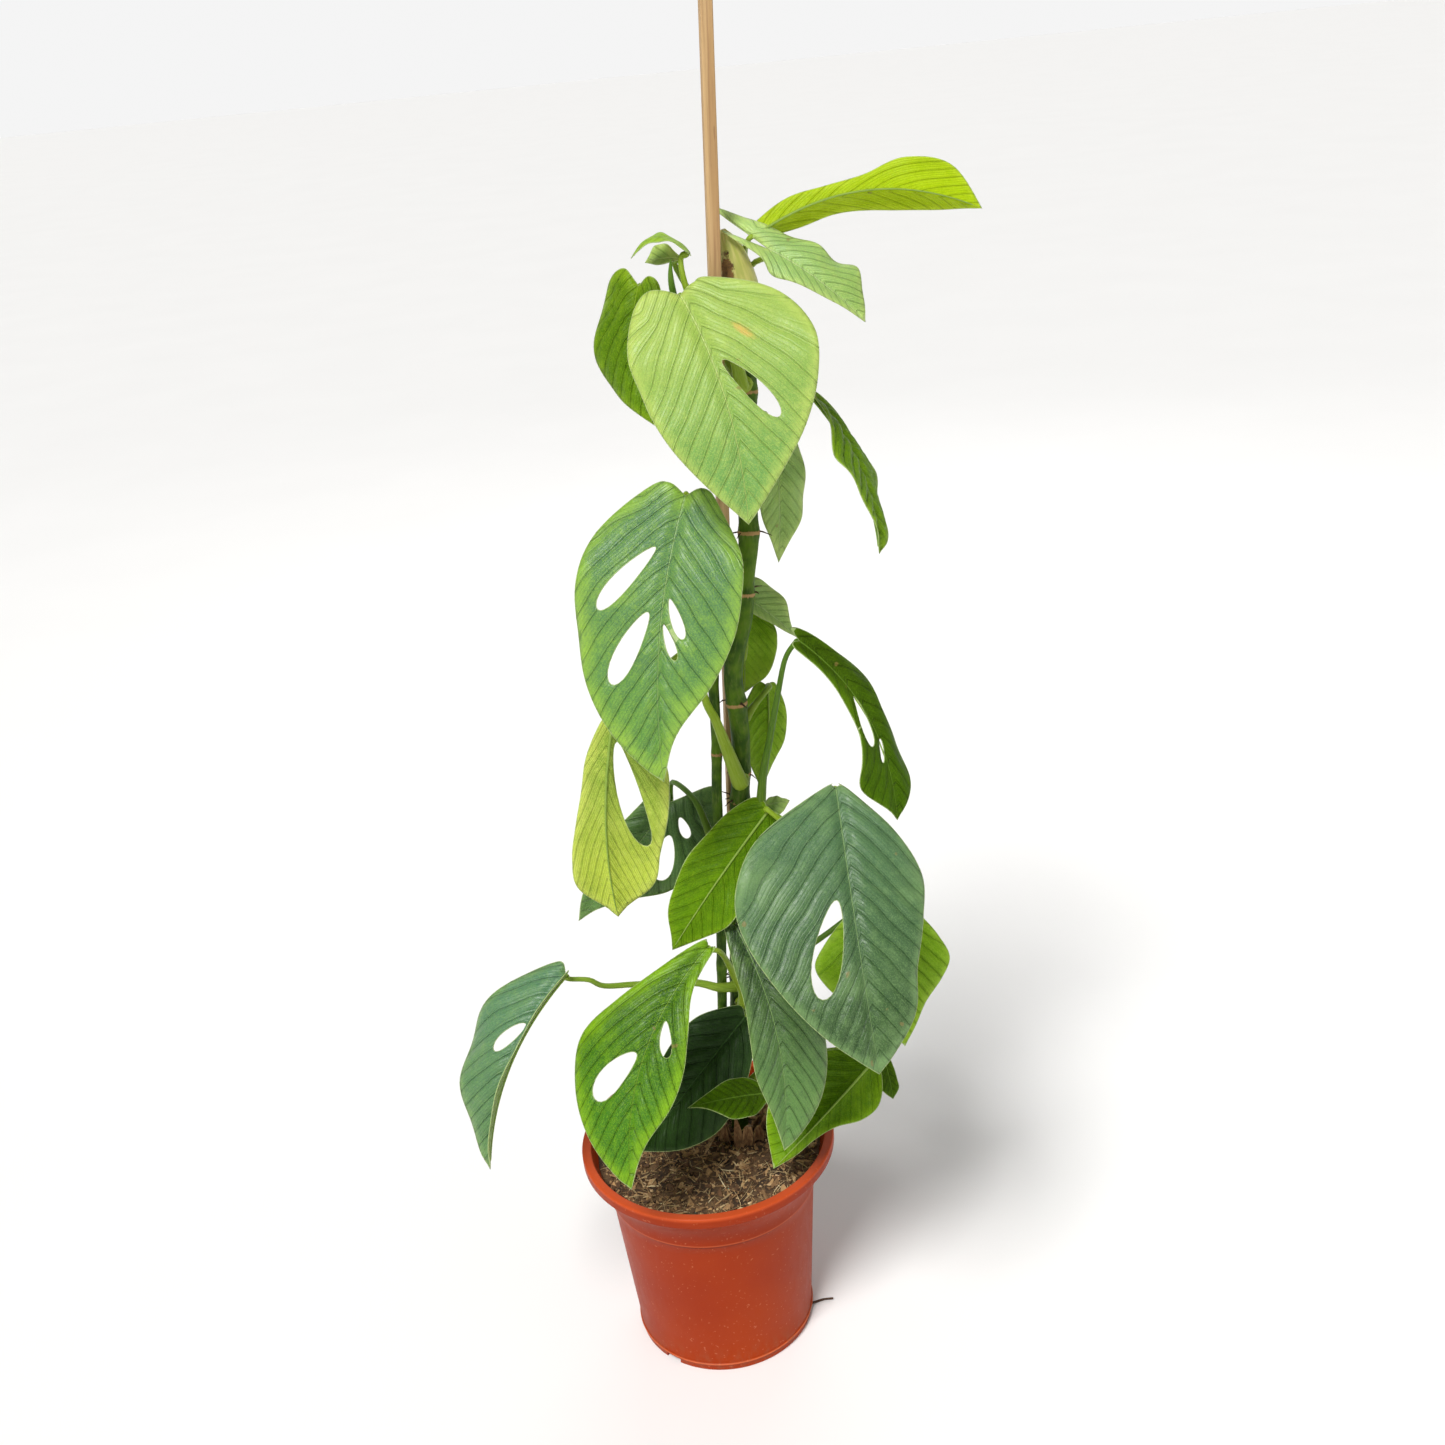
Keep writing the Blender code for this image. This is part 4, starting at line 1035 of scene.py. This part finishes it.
# %% [markdown]
# ## The next leaf in its sheath
#
# The top of the stem is a pale, swollen sheath that holds the next leaf, with a corky brown wound on its
# front. It could be sculpted, but it grows along the stem as the rest does, so it is a short fat sweep. The
# wound is part of its finish, a ragged patch measured from a place on the skin, because cork is thin and its
# outline matters more than its height.

# %% Growing tip
tip_places = [STEMS["main"][0][-1], *[above_mix(row[:3]) for row in TIP_ROUTE]]
tip_radii = [STEM_RADIUS * 0.9, *[row[3] * MM for row in TIP_ROUTE]]
tip_line = smooth_route([Vector(place) for place in tip_places], 7)
radius_line = smooth_route([Vector((radius, 0, 0)) for radius in tip_radii], 7)

WOUND_CENTRE = (0.0715, 0.033, MIX_TOP + 0.628)
WOUND_REACH = (0.0090, 0.0108)     # from full cork to none
sheath = Finish("sheath_cream", Roughness=0.42, Subsurface_Weight=0.15, Subsurface_Scale=0.002,
                Subsurface_Radius=(0.8, 1.0, 0.3))
where = sheath.place()
grain = sheath.cloud(streaks(sheath, 2.6, 40), 1.5, 4, 0.5)
rough_cloud = sheath.cloud(where, 160, 5, 0.7)
shift = sheath.add("ShaderNodeVectorMath", {"Vector": where, "Vector_001": WOUND_CENTRE}, operation="SUBTRACT")
reach = sheath.add("ShaderNodeVectorMath", {"Vector": sheath.stretch(shift, (1.6, 1.0, 0.5))}, out="Value",
                   operation="LENGTH")
reach = sheath.plus(reach, sheath.times(sheath.minus(rough_cloud, 0.5), 0.014))
wound = sheath.fade(reach, *WOUND_REACH, 1, 0)
colour = sheath.coats(sheath.mix(sheath.fade(grain, 0.3, 0.7), "B2B45C", "D0C87C"), [
    (sheath.fade(sheath.cloud(where, 40), 0.5, 0.7, 0, 0.6), "9DB04A"),
    (wound, sheath.mix(sheath.fade(rough_cloud, 0.35, 0.65), "3F2A14", "8A6638"))])
height = sheath.plus(sheath.times(grain, 0.3), sheath.times(wound, rough_cloud))
SHEATH_SKIN = sheath.finish(colour, sheath.fade(wound, 0, 1, 0.4, 0.85), sheath.bump(height, 0.0012, 0.9))

tip = swept("next_leaf_sheath", [[(place, size.x, 0.0) for place, size in zip(tip_line, radius_line)]],
                   SHEATH_SKIN, 28)
keep(tip, "sheath_skin", "growing_tip")
print("growing tip", len(tip.data.polygons), "faces")

# %% [markdown]
# ## Pot
#
# A thin moulded pot: a flat lip with rounded corners, a flared collar under it, a straight tapering wall,
# a fine ridge where the foot ring starts, drain holes in the floor and notches in the foot. Cones and rings
# could be joined, but their seams would show. It is turned from one profile instead, because the real one's
# mould is. The drain holes and notches are cut afterwards.

# %% Turning a profile round the middle
def closed_mesh(name, shape):
    """The plain mesh of a worked shape, with its faces pointing outwards."""
    bmesh.ops.recalc_face_normals(shape, faces=shape.faces)
    mesh = bpy.data.meshes.new(name)
    shape.to_mesh(mesh)
    shape.free()
    return mesh


def turned(name, profile, segments):
    """A closed skin of (radius, height) turned round the Z axis; a zero radius is a pole."""
    shape = bmesh.new()
    rings = []
    for radius, level in profile:
        count = segments if radius > 1e-9 else 1
        rings.append([shape.verts.new((radius * cos(2 * pi * i / segments), radius * sin(2 * pi * i / segments),
                                       level)) for i in range(count)])
    for low, high in zip(rings, rings[1:]):
        for i in range(segments):
            j = (i + 1) % segments
            corners = [low[i % len(low)], low[j % len(low)], high[j % len(high)], high[i % len(high)]]
            shape.faces.new(list(dict.fromkeys(corners)))
    return placed(name, closed_mesh(name, shape))


def corner(centre, radius, start, end, steps=5):
    """Points of a rounded corner, from one angle to another, in degrees."""
    return [(centre[0] + radius * cos(radians(start + (end - start) * i / steps)),
             centre[1] + radius * sin(radians(start + (end - start) * i / steps))) for i in range(steps + 1)]


print("a corner of 1.4 mm takes", len(corner((0, 0), 0.0014, 0, 90)), "points")

# %% The pot's profile, from the middle of its floor over the lip and down to its foot
WALL_TOP, FOOT_RADIUS, WALL = 0.0785, 0.0675, 0.0018
WALL_TOP_HEIGHT, LIP_FOOT, FOOT_HEIGHT, SHOULDER = 0.1435, 0.1605, 0.006, (0.0868, 0.1628)
COLLAR_STEPS = 14


def wall_at(level):
    """Outer radius of the tapering wall at a level."""
    return FOOT_RADIUS + (WALL_TOP - FOOT_RADIUS) * (level - FOOT_HEIGHT) / (WALL_TOP_HEIGHT - FOOT_HEIGHT)


floor_inside = [(0, 0.0018), (0.0362, 0.0018), (0.038, 0.0063), (wall_at(0.0063) - WALL - 0.001, 0.0063),
                (wall_at(0.0073) - WALL, 0.0073)]
inner = [(wall_at(WALL_TOP_HEIGHT) - WALL, WALL_TOP_HEIGHT), (0.0823, 0.1529), SHOULDER]
lip = corner((0.0894, 0.1676), 0.0014, 180, 90) + corner((0.0936, 0.1676), 0.0014, 90, 0)
lip += corner((0.0942, 0.1613), 0.0007, 0, -90, 3)
collar = [(0.0791 + 0.0136 * (1 - i / COLLAR_STEPS) ** 2.2, LIP_FOOT - 0.0004 - 0.0302 * i / COLLAR_STEPS)
          for i in range(COLLAR_STEPS + 1)]
step = [(0.0790, 0.1296), (0.0786, 0.1293), (wall_at(0.1291) + 0.0003, 0.1290), (wall_at(0.1285), 0.1285)]
wall = [(wall_at(level), level) for level in (0.12, 0.09, 0.06, 0.03, 0.0082)]
foot = corner((FOOT_RADIUS + 0.0002, FOOT_HEIGHT + 0.0004), 0.0011, 80, -80, 6)
foot += [(FOOT_RADIUS - 0.0001, 0.0044), (FOOT_RADIUS, 0.0008), (FOOT_RADIUS - 0.0006, 0)]
below = [(FOOT_RADIUS - WALL, 0), (FOOT_RADIUS - WALL, 0.0045), (0.0398, 0.0045), (0.038, 0), (0, 0)]
pot = turned("nursery_pot", floor_inside + inner + lip + collar + step + wall + foot + below, 160)
print("pot turned", len(pot.data.polygons), "faces")

# %% Drain holes and foot notches
HOLES, HOLE_RADIUS, HOLE_RING = 8, 0.0045, 0.050
NOTCHES, NOTCH_SIZE, FIRST_NOTCH = 3, (0.011, 0.013, 0.008, 1), -132
cuts = bmesh.new()
for i in range(HOLES):
    place = Matrix.Rotation(2 * pi * i / HOLES, 4, "Z") @ Matrix.Translation((HOLE_RING, 0, 0.0045))
    bmesh.ops.create_cone(cuts, cap_ends=True, segments=24, radius1=HOLE_RADIUS, radius2=HOLE_RADIUS,
                          depth=0.011, matrix=place)
for i in range(NOTCHES):
    place = Matrix.Rotation(radians(FIRST_NOTCH + 120 * i), 4, "Z") @ Matrix.Translation((FOOT_RADIUS, 0, 0))
    bmesh.ops.create_cube(cuts, size=1, matrix=place @ Matrix.Diagonal(NOTCH_SIZE))
cutter = placed("pot_cuts", closed_mesh("pot_cuts", cuts))
drill = pot.modifiers.new("Cuts", "BOOLEAN")
drill.object = cutter
drill.solver = "EXACT"
drilled = bpy.data.meshes.new_from_object(pot.evaluated_get(bpy.context.evaluated_depsgraph_get()))
pot.modifiers.clear()
pot.data = drilled
bpy.data.objects.remove(cutter)
pot.data.shade_smooth()
pot.data.set_sharp_from_angle(angle=radians(34))
print("pot cut", len(pot.data.polygons), "faces")

# %% Terracotta-coloured plastic
# Thin lines of painted shade and painted highlight round the pot, along its folds and ridge: level, reach at
# full strength and at none, strength, colour.
PAINTED_SHADE_AND_LIGHT_LINES = [(0.1281, 0.0003, 0.0012, 0.6, "5E1C04"),     # shade under the collar's fold
               (0.1305, 0.0002, 0.0009, 0.4, "D2683E"),     # light on the fold
               (0.1603, 0.0002, 0.0016, 0.5, "8A2E0A"),     # shade under the lip
               (0.0068, 0.0001, 0.0007, 0.6, "E07A4E")]     # light on the ridge over the foot
plastic = Finish("terracotta_plastic", Roughness=0.42, Specular_IOR_Level=0.14)
where = plastic.place()
level = plastic.add("ShaderNodeSeparateXYZ", {"Vector": where}, out="Z")
cloudy = plastic.cloud(where, 9, 4, 0.5)
scuffed = plastic.cloud(plastic.stretch(where, (60, 60, 22)), 3.0, 5, 0.65)
grit = plastic.cloud(where, 900, 2, 0.5)
speckle = plastic.fade(plastic.cloud(where, 420, 2, 0.5), 0.66, 0.72)
dust = plastic.times(plastic.fade(level, 0.03, 0.0, 0, 0.5), plastic.fade(scuffed, 0.4, 0.65))
# painted shade under the folds and painted highlight on them
painted_lines = [(plastic.fade(plastic.size(plastic.minus(level, at)), near, far, strength, 0), code)
         for at, near, far, strength, code in PAINTED_SHADE_AND_LIGHT_LINES]
colour = plastic.coats(plastic.mix(plastic.fade(cloudy, 0.3, 0.7), "942C02", "A03604"), [
    (plastic.fade(scuffed, 0.66, 0.82, 0, 0.07), "C8623A"),
    (plastic.times(speckle, 0.3), "D98A66"),
    # painted highlight: the flat top of the lip is made lighter, as where light from above falls on it
    (plastic.fade(level, 0.1655, 0.1685, 0, 0.55), "D85A2C"),
    *painted_lines,
    (dust, "8E5238")])
height = plastic.plus(plastic.times(grit, 0.12), plastic.times(cloudy, 0.6))
pot.data.materials.append(plastic.finish(colour, plastic.fade(scuffed, 0.35, 0.75, 0.42, 0.5),
                                         plastic.bump(height, 0.0006, 0.35)))
keep(pot, "pot_plastic", "pot")
print("pot finish", plastic.material.name)

# %% [markdown]
# ## Bark mix
#
# The pot holds coarse bark, coir fibres, chaff and grit. One lumpy disc makes the ground, but by itself it
# would look like carpet. So what lies on it is scattered by a Geometry Nodes tree, from a few small shapes
# that are turned, tilted and sized at random with a fixed seed. Each gets its own shade for its finish.

# %% Ground
BARK_BROWNS = ("2A1C10", "4A3622", "6C5236", "927048")
HAIR = 0.0006
MOUND, GROUND_RADIUS, GROUND_RINGS = 0.002, 0.0842, 46


def bark_finish(name, browns, scale=120):
    """From the first two browns to the third and the palest, by the shade that each flake was given."""
    bark = Finish(name, Roughness=0.9)
    crumbs = bark.cloud(bark.place(), scale, 6, 0.7)
    shade = bark.number("shade")
    colour = bark.coats(bark.mix(bark.fade(crumbs, 0.3, 0.7), *browns[:2]), [
        (bark.fade(shade, 0.35, 0.8), browns[2]),
        (bark.fade(bark.times(shade, crumbs), 0.42, 0.6), browns[3])])
    return bark.finish(colour, None, bark.bump(crumbs, 0.0015, 1.0))


def mix_edge(level):
    """Radius of the inside of the pot at a level, less a hair of room."""
    straight = wall_at(min(level, WALL_TOP_HEIGHT)) - WALL - HAIR
    if level < WALL_TOP_HEIGHT:
        return straight
    share = (level - WALL_TOP_HEIGHT) / (SHOULDER[1] - WALL_TOP_HEIGHT)
    return straight + (SHOULDER[0] - wall_at(WALL_TOP_HEIGHT) + WALL) * share


ground_profile = [(0, MIX_TOP + MOUND)]
for i in range(1, GROUND_RINGS + 1):
    ground_profile.append((GROUND_RADIUS * i / GROUND_RINGS, MIX_TOP + MOUND - MOUND * (i / GROUND_RINGS)))
ground_profile += [(mix_edge(0.15), 0.15), (mix_edge(0.142), 0.142), (mix_edge(0.0085), 0.0085), (0.037, 0.007),
                   (0.0355, 0.0024), (0, 0.0022)]
ground = turned("bark_ground", ground_profile, 128)
for vertex in ground.data.vertices:
    if vertex.co.z > 0.1565:
        lumps = noise.noise(vertex.co * 130) * 0.0011 + noise.noise(vertex.co * 420) * 0.0007
        vertex.co.z += lumps - 0.0004
ground.data.materials.append(bark_finish("bark_crumbs", BARK_BROWNS))
ground.data.attributes.new("shade", "FLOAT", "POINT").data.foreach_set(
    "value", [0.5 + 0.5 * noise.noise(vertex.co * 60) for vertex in ground.data.vertices])
ground.data.shade_smooth()
keep(ground, "bark_mix", "soil")
print("ground", len(ground.data.polygons), "faces")


# %% Loose shapes to scatter
CORNERS, STRAW_STEPS = 12, 7


def chip(name, seed, size):
    """An angular flake: the skin round a few random corners."""
    dice = random.Random(seed)
    shape = bmesh.new()
    for _ in range(CORNERS):
        shape.verts.new([dice.uniform(-1, 1) * side for side in size])
    made = bmesh.ops.convex_hull(shape, input=shape.verts)
    spare = [item for item in made["geom_interior"] if isinstance(item, bmesh.types.BMVert)]
    bmesh.ops.delete(shape, geom=spare, context="VERTS")
    return bpy.data.objects.new(name, closed_mesh(name, shape))


def straw(name, seed, length, radius, bend):
    """A thin fibre of three sides that wanders as it goes."""
    dice = random.Random(seed)
    shape = bmesh.new()
    rings = []
    turn = Vector((dice.uniform(-1, 1), dice.uniform(-1, 1), dice.uniform(0, 0.6))) * bend
    for i in range(STRAW_STEPS + 1):
        t = i / STRAW_STEPS - 0.5
        middle = Vector((t * length, 0, 0)) + turn * (0.25 - t * t) * length
        thin = radius * (1 - abs(t) * 1.2)
        rings.append([shape.verts.new(middle + Vector((0, cos(a), sin(a))) * thin)
                      for a in (0, 2 * pi / 3, 4 * pi / 3)])
    for low, high in zip(rings, rings[1:]):
        for i in range(3):
            shape.faces.new((low[i], low[(i + 1) % 3], high[(i + 1) % 3], high[i]))
    shape.faces.new(rings[0][::-1])
    shape.faces.new(rings[-1])
    return bpy.data.objects.new(name, closed_mesh(name, shape))


CHIPS = [chip("chip_%d" % i, i, size) for i, size in enumerate(
    [(0.0058, 0.0030, 0.0009), (0.0042, 0.0034, 0.0014), (0.0078, 0.0019, 0.0008)])]
CRUMBS = [chip("crumb_%d" % i, 20 + i, size) for i, size in enumerate(
    [(0.0011, 0.0009, 0.0007), (0.0015, 0.0008, 0.0005), (0.0009, 0.0009, 0.0008)])]
FIBRES = [straw("fibre_%d" % i, 40 + i, *size) for i, size in enumerate(
    [(0.016, 0.00035, 0.4), (0.022, 0.00026, 0.7), (0.011, 0.00065, 0.2)])]
print("shapes", [len(item.data.polygons) for item in CHIPS + CRUMBS + FIBRES], "faces")


# %% One tree that scatters shapes over a ground
def scatter_tree():
    tree = bpy.data.node_groups.new("scatter", "GeometryNodeTree")
    net = Network(tree)
    face = tree.interface
    face.new_socket("Ground", in_out="INPUT", socket_type="NodeSocketGeometry")
    kinds = {"Density": "Float", "Smallest": "Float", "Largest": "Float", "Tilt": "Float", "Seed": "Int",
             "First": "Object", "Second": "Object", "Third": "Object", "Skin": "Material"}
    sizes = {name: face.new_socket(name, in_out="INPUT", socket_type="NodeSocket" + kind).identifier
             for name, kind in kinds.items()}
    face.new_socket("Piece", in_out="OUTPUT", socket_type="NodeSocketGeometry")
    ins = net.tree.nodes.new("NodeGroupInput").outputs
    points = net.add("GeometryNodeDistributePointsOnFaces", {"Mesh": ins["Ground"], "Density": ins["Density"],
                     "Seed": ins["Seed"]})
    shapes = [net.add("GeometryNodeObjectInfo", {"Object": ins[name], "As Instance": True}, out="Geometry")
              for name in ("First", "Second", "Third")]
    choice = net.add("GeometryNodeJoinGeometry", {"Geometry": shapes})
    back = net.add("ShaderNodeMath", {"Value": ins["Tilt"], "Value_001": -1.0}, operation="MULTIPLY")
    low = net.add("ShaderNodeCombineXYZ", {"X": back, "Y": back, "Z": 0.0})
    high = net.add("ShaderNodeCombineXYZ", {"X": ins["Tilt"], "Y": ins["Tilt"], "Z": 2 * pi})
    turn = net.add("FunctionNodeRandomValue", {"Min": low, "Max": high, "Seed": ins["Seed"]}, out="Value",
                   data_type="FLOAT_VECTOR")
    turn = net.add("FunctionNodeEulerToRotation", {"Euler": turn})
    limits = {"Min_001": ins["Smallest"], "Max_001": ins["Largest"], "Seed": 5}
    scale = net.add("FunctionNodeRandomValue", limits, out="Value_001", data_type="FLOAT")
    laid = net.add("GeometryNodeInstanceOnPoints", {"Points": points, "Instance": choice, "Pick Instance": True,
                   "Rotation": turn, "Scale": scale})
    shade = net.add("FunctionNodeRandomValue", {"Min_001": 0.0, "Max_001": 1.0, "Seed": 11}, out="Value_001",
                    data_type="FLOAT")
    laid = net.add("GeometryNodeStoreNamedAttribute", {"Geometry": laid, "Name": "shade", "Value": shade},
                   data_type="FLOAT", domain="INSTANCE")
    laid = net.add("GeometryNodeRealizeInstances", {"Geometry": laid})
    laid = net.add("GeometryNodeSetMaterial", {"Geometry": laid, "Material": ins["Skin"]})
    net.tree.links.new(laid, net.tree.nodes.new("NodeGroupOutput").inputs["Piece"])
    return tree, sizes


SCATTER, SCATTER_SIZES = scatter_tree()
print("scatter inputs", SCATTER_SIZES)

# %% Scattering the bark, the crumbs, the straws and a few grains of feed
bed_rows = ((0.0002, 0.0016), (0.03, 0.001), (0.060, 0.0004), (0.0815, 0))
bed = turned("bed", [(radius, MIX_TOP + rise) for radius, rise in bed_rows], 48)
BED = bed.data
bpy.data.objects.remove(bed)
for polygon in BED.polygons:
    if polygon.normal.z < 0:
        BED.flip_normals()
        break
FIBRE_SKIN = bark_finish("coir_straw", ("6A4E32", "9C7C52", "CBB080", "EAD8AC"), 60)
CHIP_SKIN = bark_finish("bark_flakes", ("382616", "7C5A3A", "B28C5E", "E0C294"))
BLUE_SKIN = bark_finish("feed_grains", ("1E6E68", "2F8F88", "3AA39C", "55B8B0"))
# name, number to the square metre, smallest and largest size, tilt in radians, seed, shapes, finish
beds = [("bark_chips", 22000, 0.5, 1.35, 0.6, 3, CHIPS, CHIP_SKIN),
        ("bark_crumbs", 130000, 0.7, 1.7, 1.5, 4, CRUMBS, CHIP_SKIN),
        ("coir_fibres", 42000, 0.4, 1.35, 0.3, 6, FIBRES, FIBRE_SKIN),
        ("feed_grains", 700, 0.7, 1.1, 1.2, 8, CRUMBS, BLUE_SKIN)]
for name, density, small, large, tilt, seed, shapes, skin in beds:
    item = grow(name, BED, SCATTER, SCATTER_SIZES, Density=density, Smallest=small, Largest=large, Tilt=tilt,
                Seed=seed, First=shapes[0], Second=shapes[1], Third=shapes[2], Skin=skin)
    keep(item, "bark_mix")
    print(name, len(item.data.polygons), "faces")
for item in CHIPS + CRUMBS + FIBRES:
    bpy.data.objects.remove(item)

# %% [markdown]
# ## Stake
#
# The stake is a sawn square rod. It could be a new box with a bevel, but the measured solid already has its
# shape and its eased corners. So that stays, and gets pale yellowish softwood with grain that runs its length.
# The grain is noise drawn out along the rod, which leans a little, so the noise is turned by the same angle.

# %% Softwood
STAKE_LEAN = 0.056
wood = Finish("stake_softwood", Roughness=0.62)
lean = wood.add("ShaderNodeMapping", {"Vector": wood.place(), "Rotation": (0, -STAKE_LEAN, 0)})
grain = wood.cloud(wood.stretch(lean, (1.0, 1.0, 0.018)), 900, 4, 0.6)
bands = wood.cloud(wood.stretch(lean, (1.0, 1.0, 0.03)), 240, 3, 0.5)
fleck = wood.fade(wood.cloud(wood.stretch(lean, (1.0, 1.0, 0.12)), 420, 2), 0.68, 0.73)
colour = wood.coats(wood.mix(wood.fade(bands, 0.3, 0.7), "AE8858", "CBA876"), [
    (wood.fade(grain, 0.5, 0.68, 0, 0.6), "9A7450"),
    (wood.times(fleck, 0.4), "7A5836")])
softwood = wood.finish(colour, wood.fade(grain, 0.3, 0.7, 0.52, 0.75), wood.bump(grain, 0.0004, 0.7))
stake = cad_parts["stake"]
for part in stake.material_slots:
    part.material = softwood
print("stake slots", len(stake.material_slots))

# %% [markdown]
# ## Roots and dry sheaths
#
# A root has found its way out of the pot low on the right. Short dark air roots stand on the joints of the
# stem. Both are thin sweeps, as hairs would be lost in the export. Old papery sheaths stand dry round the foot
# of the stem. A flat card would look cut out, so each is a strip that is cupped along its route, creased by
# noise and given the thickness of paper.

# %% Roots
root = Finish("root_dark", Roughness=0.8)
crust = root.cloud(root.place(), 500, 4, 0.6)
ROOT_SKIN = root.finish(root.mix(crust, "2A1A10", "5A3A22"), None, root.bump(crust, 0.0006, 0.8))
root_line = smooth_route([Vector(place) * MM for place in SIDE_ROOT], 8)
root_line = [(place, 0.0011 - 0.0003 * i / len(root_line), 0.0) for i, place in enumerate(root_line)]
keep(swept("stray_root", [root_line], ROOT_SKIN, 10), "root_skin", "side_root")

ROOTS_ON_A_JOINT, AIR_ROOT_REACH = 3, (0.003, 0.009)
dice = random.Random(12)
air_roots = []
for joint in JOINTS[1:]:
    for _ in range(ROOTS_ON_A_JOINT):
        turn = radians(dice.uniform(-140, 140))
        away = Vector((sin(turn), -cos(turn), 0))
        start = stem_centre("main", (joint + dice.uniform(-2, 3)) * MM) + away * STEM_RADIUS * 0.75
        reach = dice.uniform(*AIR_ROOT_REACH)
        end = start + away * (reach + 0.0018) + Vector((0, 0, dice.uniform(-0.8, 0.2) * reach))
        middle = start.lerp(end, 0.5) + Vector((dice.uniform(-1, 1), dice.uniform(-1, 1), 1)) * 0.0008
        air_roots.append([(start, 0.0006, 0.0), (middle, 0.0005, 0.0), (end, 0.0002, 0.0)])
keep(swept("air_roots", air_roots, ROOT_SKIN, 6), "root_skin")
print("air roots", len(air_roots))


# %% Dry sheaths round the foot of the stem
def ribbon(places, widths, turn, cup, rows=6):
    """A papery strip along a route: its width at each place, turned about the route and cupped."""
    line = smooth_route(places, 5)
    wide = smooth_route([Vector((width, 0, 0)) for width in widths], 5)
    verts, faces = [], []
    for i, place in enumerate(line):
        ahead = (line[min(i + 1, len(line) - 1)] - line[max(i - 1, 0)]).normalized()
        across = ahead.cross(Vector((cos(turn), sin(turn), 0.2))).normalized()
        out = across.cross(ahead)
        for j in range(rows + 1):
            share = 2 * j / rows - 1
            angle = share * cup
            reach = wide[i].x / max(cup, 0.01)
            crease = noise.noise(place * 300 + Vector((j, 0, 0))) * 0.0006
            verts.append(place + across * sin(angle) * reach + out * ((1 - cos(angle)) * reach + crease))
    for i in range(len(line) - 1):
        for j in range(rows):
            a = i * (rows + 1) + j
            faces.append((a, a + 1, a + rows + 2, a + rows + 1))
    return verts, faces


print("ribbons of six cells across")

# %% Making the dry sheaths
HUSKS, HUSK_THICKNESS = 18, 0.0003
husk = Finish("dry_sheath", Roughness=0.75)
fibre = husk.cloud(husk.stretch(husk.place(), (1, 1, 0.2)), 420, 5, 0.65)
blotch = husk.cloud(husk.place(), 70, 3, 0.5)
colour = husk.mix(husk.fade(fibre, 0.3, 0.7), "7A5634", "C6A272")
colour = husk.mix(husk.fade(blotch, 0.45, 0.7, 0, 0.7), colour, "4A2E1A")
HUSK_SKIN = husk.finish(colour, None, husk.bump(fibre, 0.0008, 0.9))

dice = random.Random(31)
verts, faces = [], []
for i in range(HUSKS):
    angle = radians(-230 + 15 * i + dice.uniform(-8, 8))
    away = Vector((cos(angle), sin(angle), 0))
    foot_place = stem_centre("main", 0.003) + away * dice.uniform(0.008, 0.030)
    tall = dice.uniform(0.020, 0.048)
    middle = foot_place + away * tall * dice.uniform(0.1, 0.4) + Vector((0, 0, tall * 0.55))
    end = middle + away * tall * dice.uniform(0.2, 0.8) + Vector((0, 0, tall * dice.uniform(-0.2, 0.5)))
    width = dice.uniform(0.003, 0.007)
    passes = [foot_place - Vector((0, 0, 0.004)), foot_place.lerp(middle, 0.5) + away * 0.001, middle, end]
    made, cells = ribbon(passes, [width, width * 1.1, width * 0.8, width * 0.15], angle, dice.uniform(0.6, 1.5))
    faces += [tuple(corner_index + len(verts) for corner_index in cell) for cell in cells]
    verts += made
husk_mesh = bpy.data.meshes.new("dry_sheaths")
husk_mesh.from_pydata(verts, [], faces)
husk_mesh.materials.append(HUSK_SKIN)
husk_mesh.shade_smooth()
husks = placed("dry_sheaths", husk_mesh)
paper = husks.modifiers.new("Paper", "SOLIDIFY")
paper.thickness = HUSK_THICKNESS
paper.offset = 0
keep(husks, "sheath_skin")
print("dry sheaths", len(husk_mesh.polygons), "faces")

# %% [markdown]
# ## A leaf still rolled up
#
# Beside the growing tip a young leaf is still a tight dark roll. A cone would be too straight, so it is one
# more short sweep, fattest below its middle, with the dark stalk finish.

# %% The rolled leaf
ROLL_ROUTE = [(41, 22, 610), (38, 19, 624), (37, 18, 636), (38, 19, 647)]
roll_line = smooth_route([above_mix(place) for place in ROLL_ROUTE], 6)
last = len(roll_line) - 1
spike = [(place, 0.0003 + 0.0019 * sin(pi * (0.22 + 0.78 * i / last)) ** 0.8, i / last)
         for i, place in enumerate(roll_line)]
keep(swept("rolled_leaf", [spike], STALK_SKINS["dark"], 12), "stalk_skin")
print("rolled leaf", len(spike), "places")
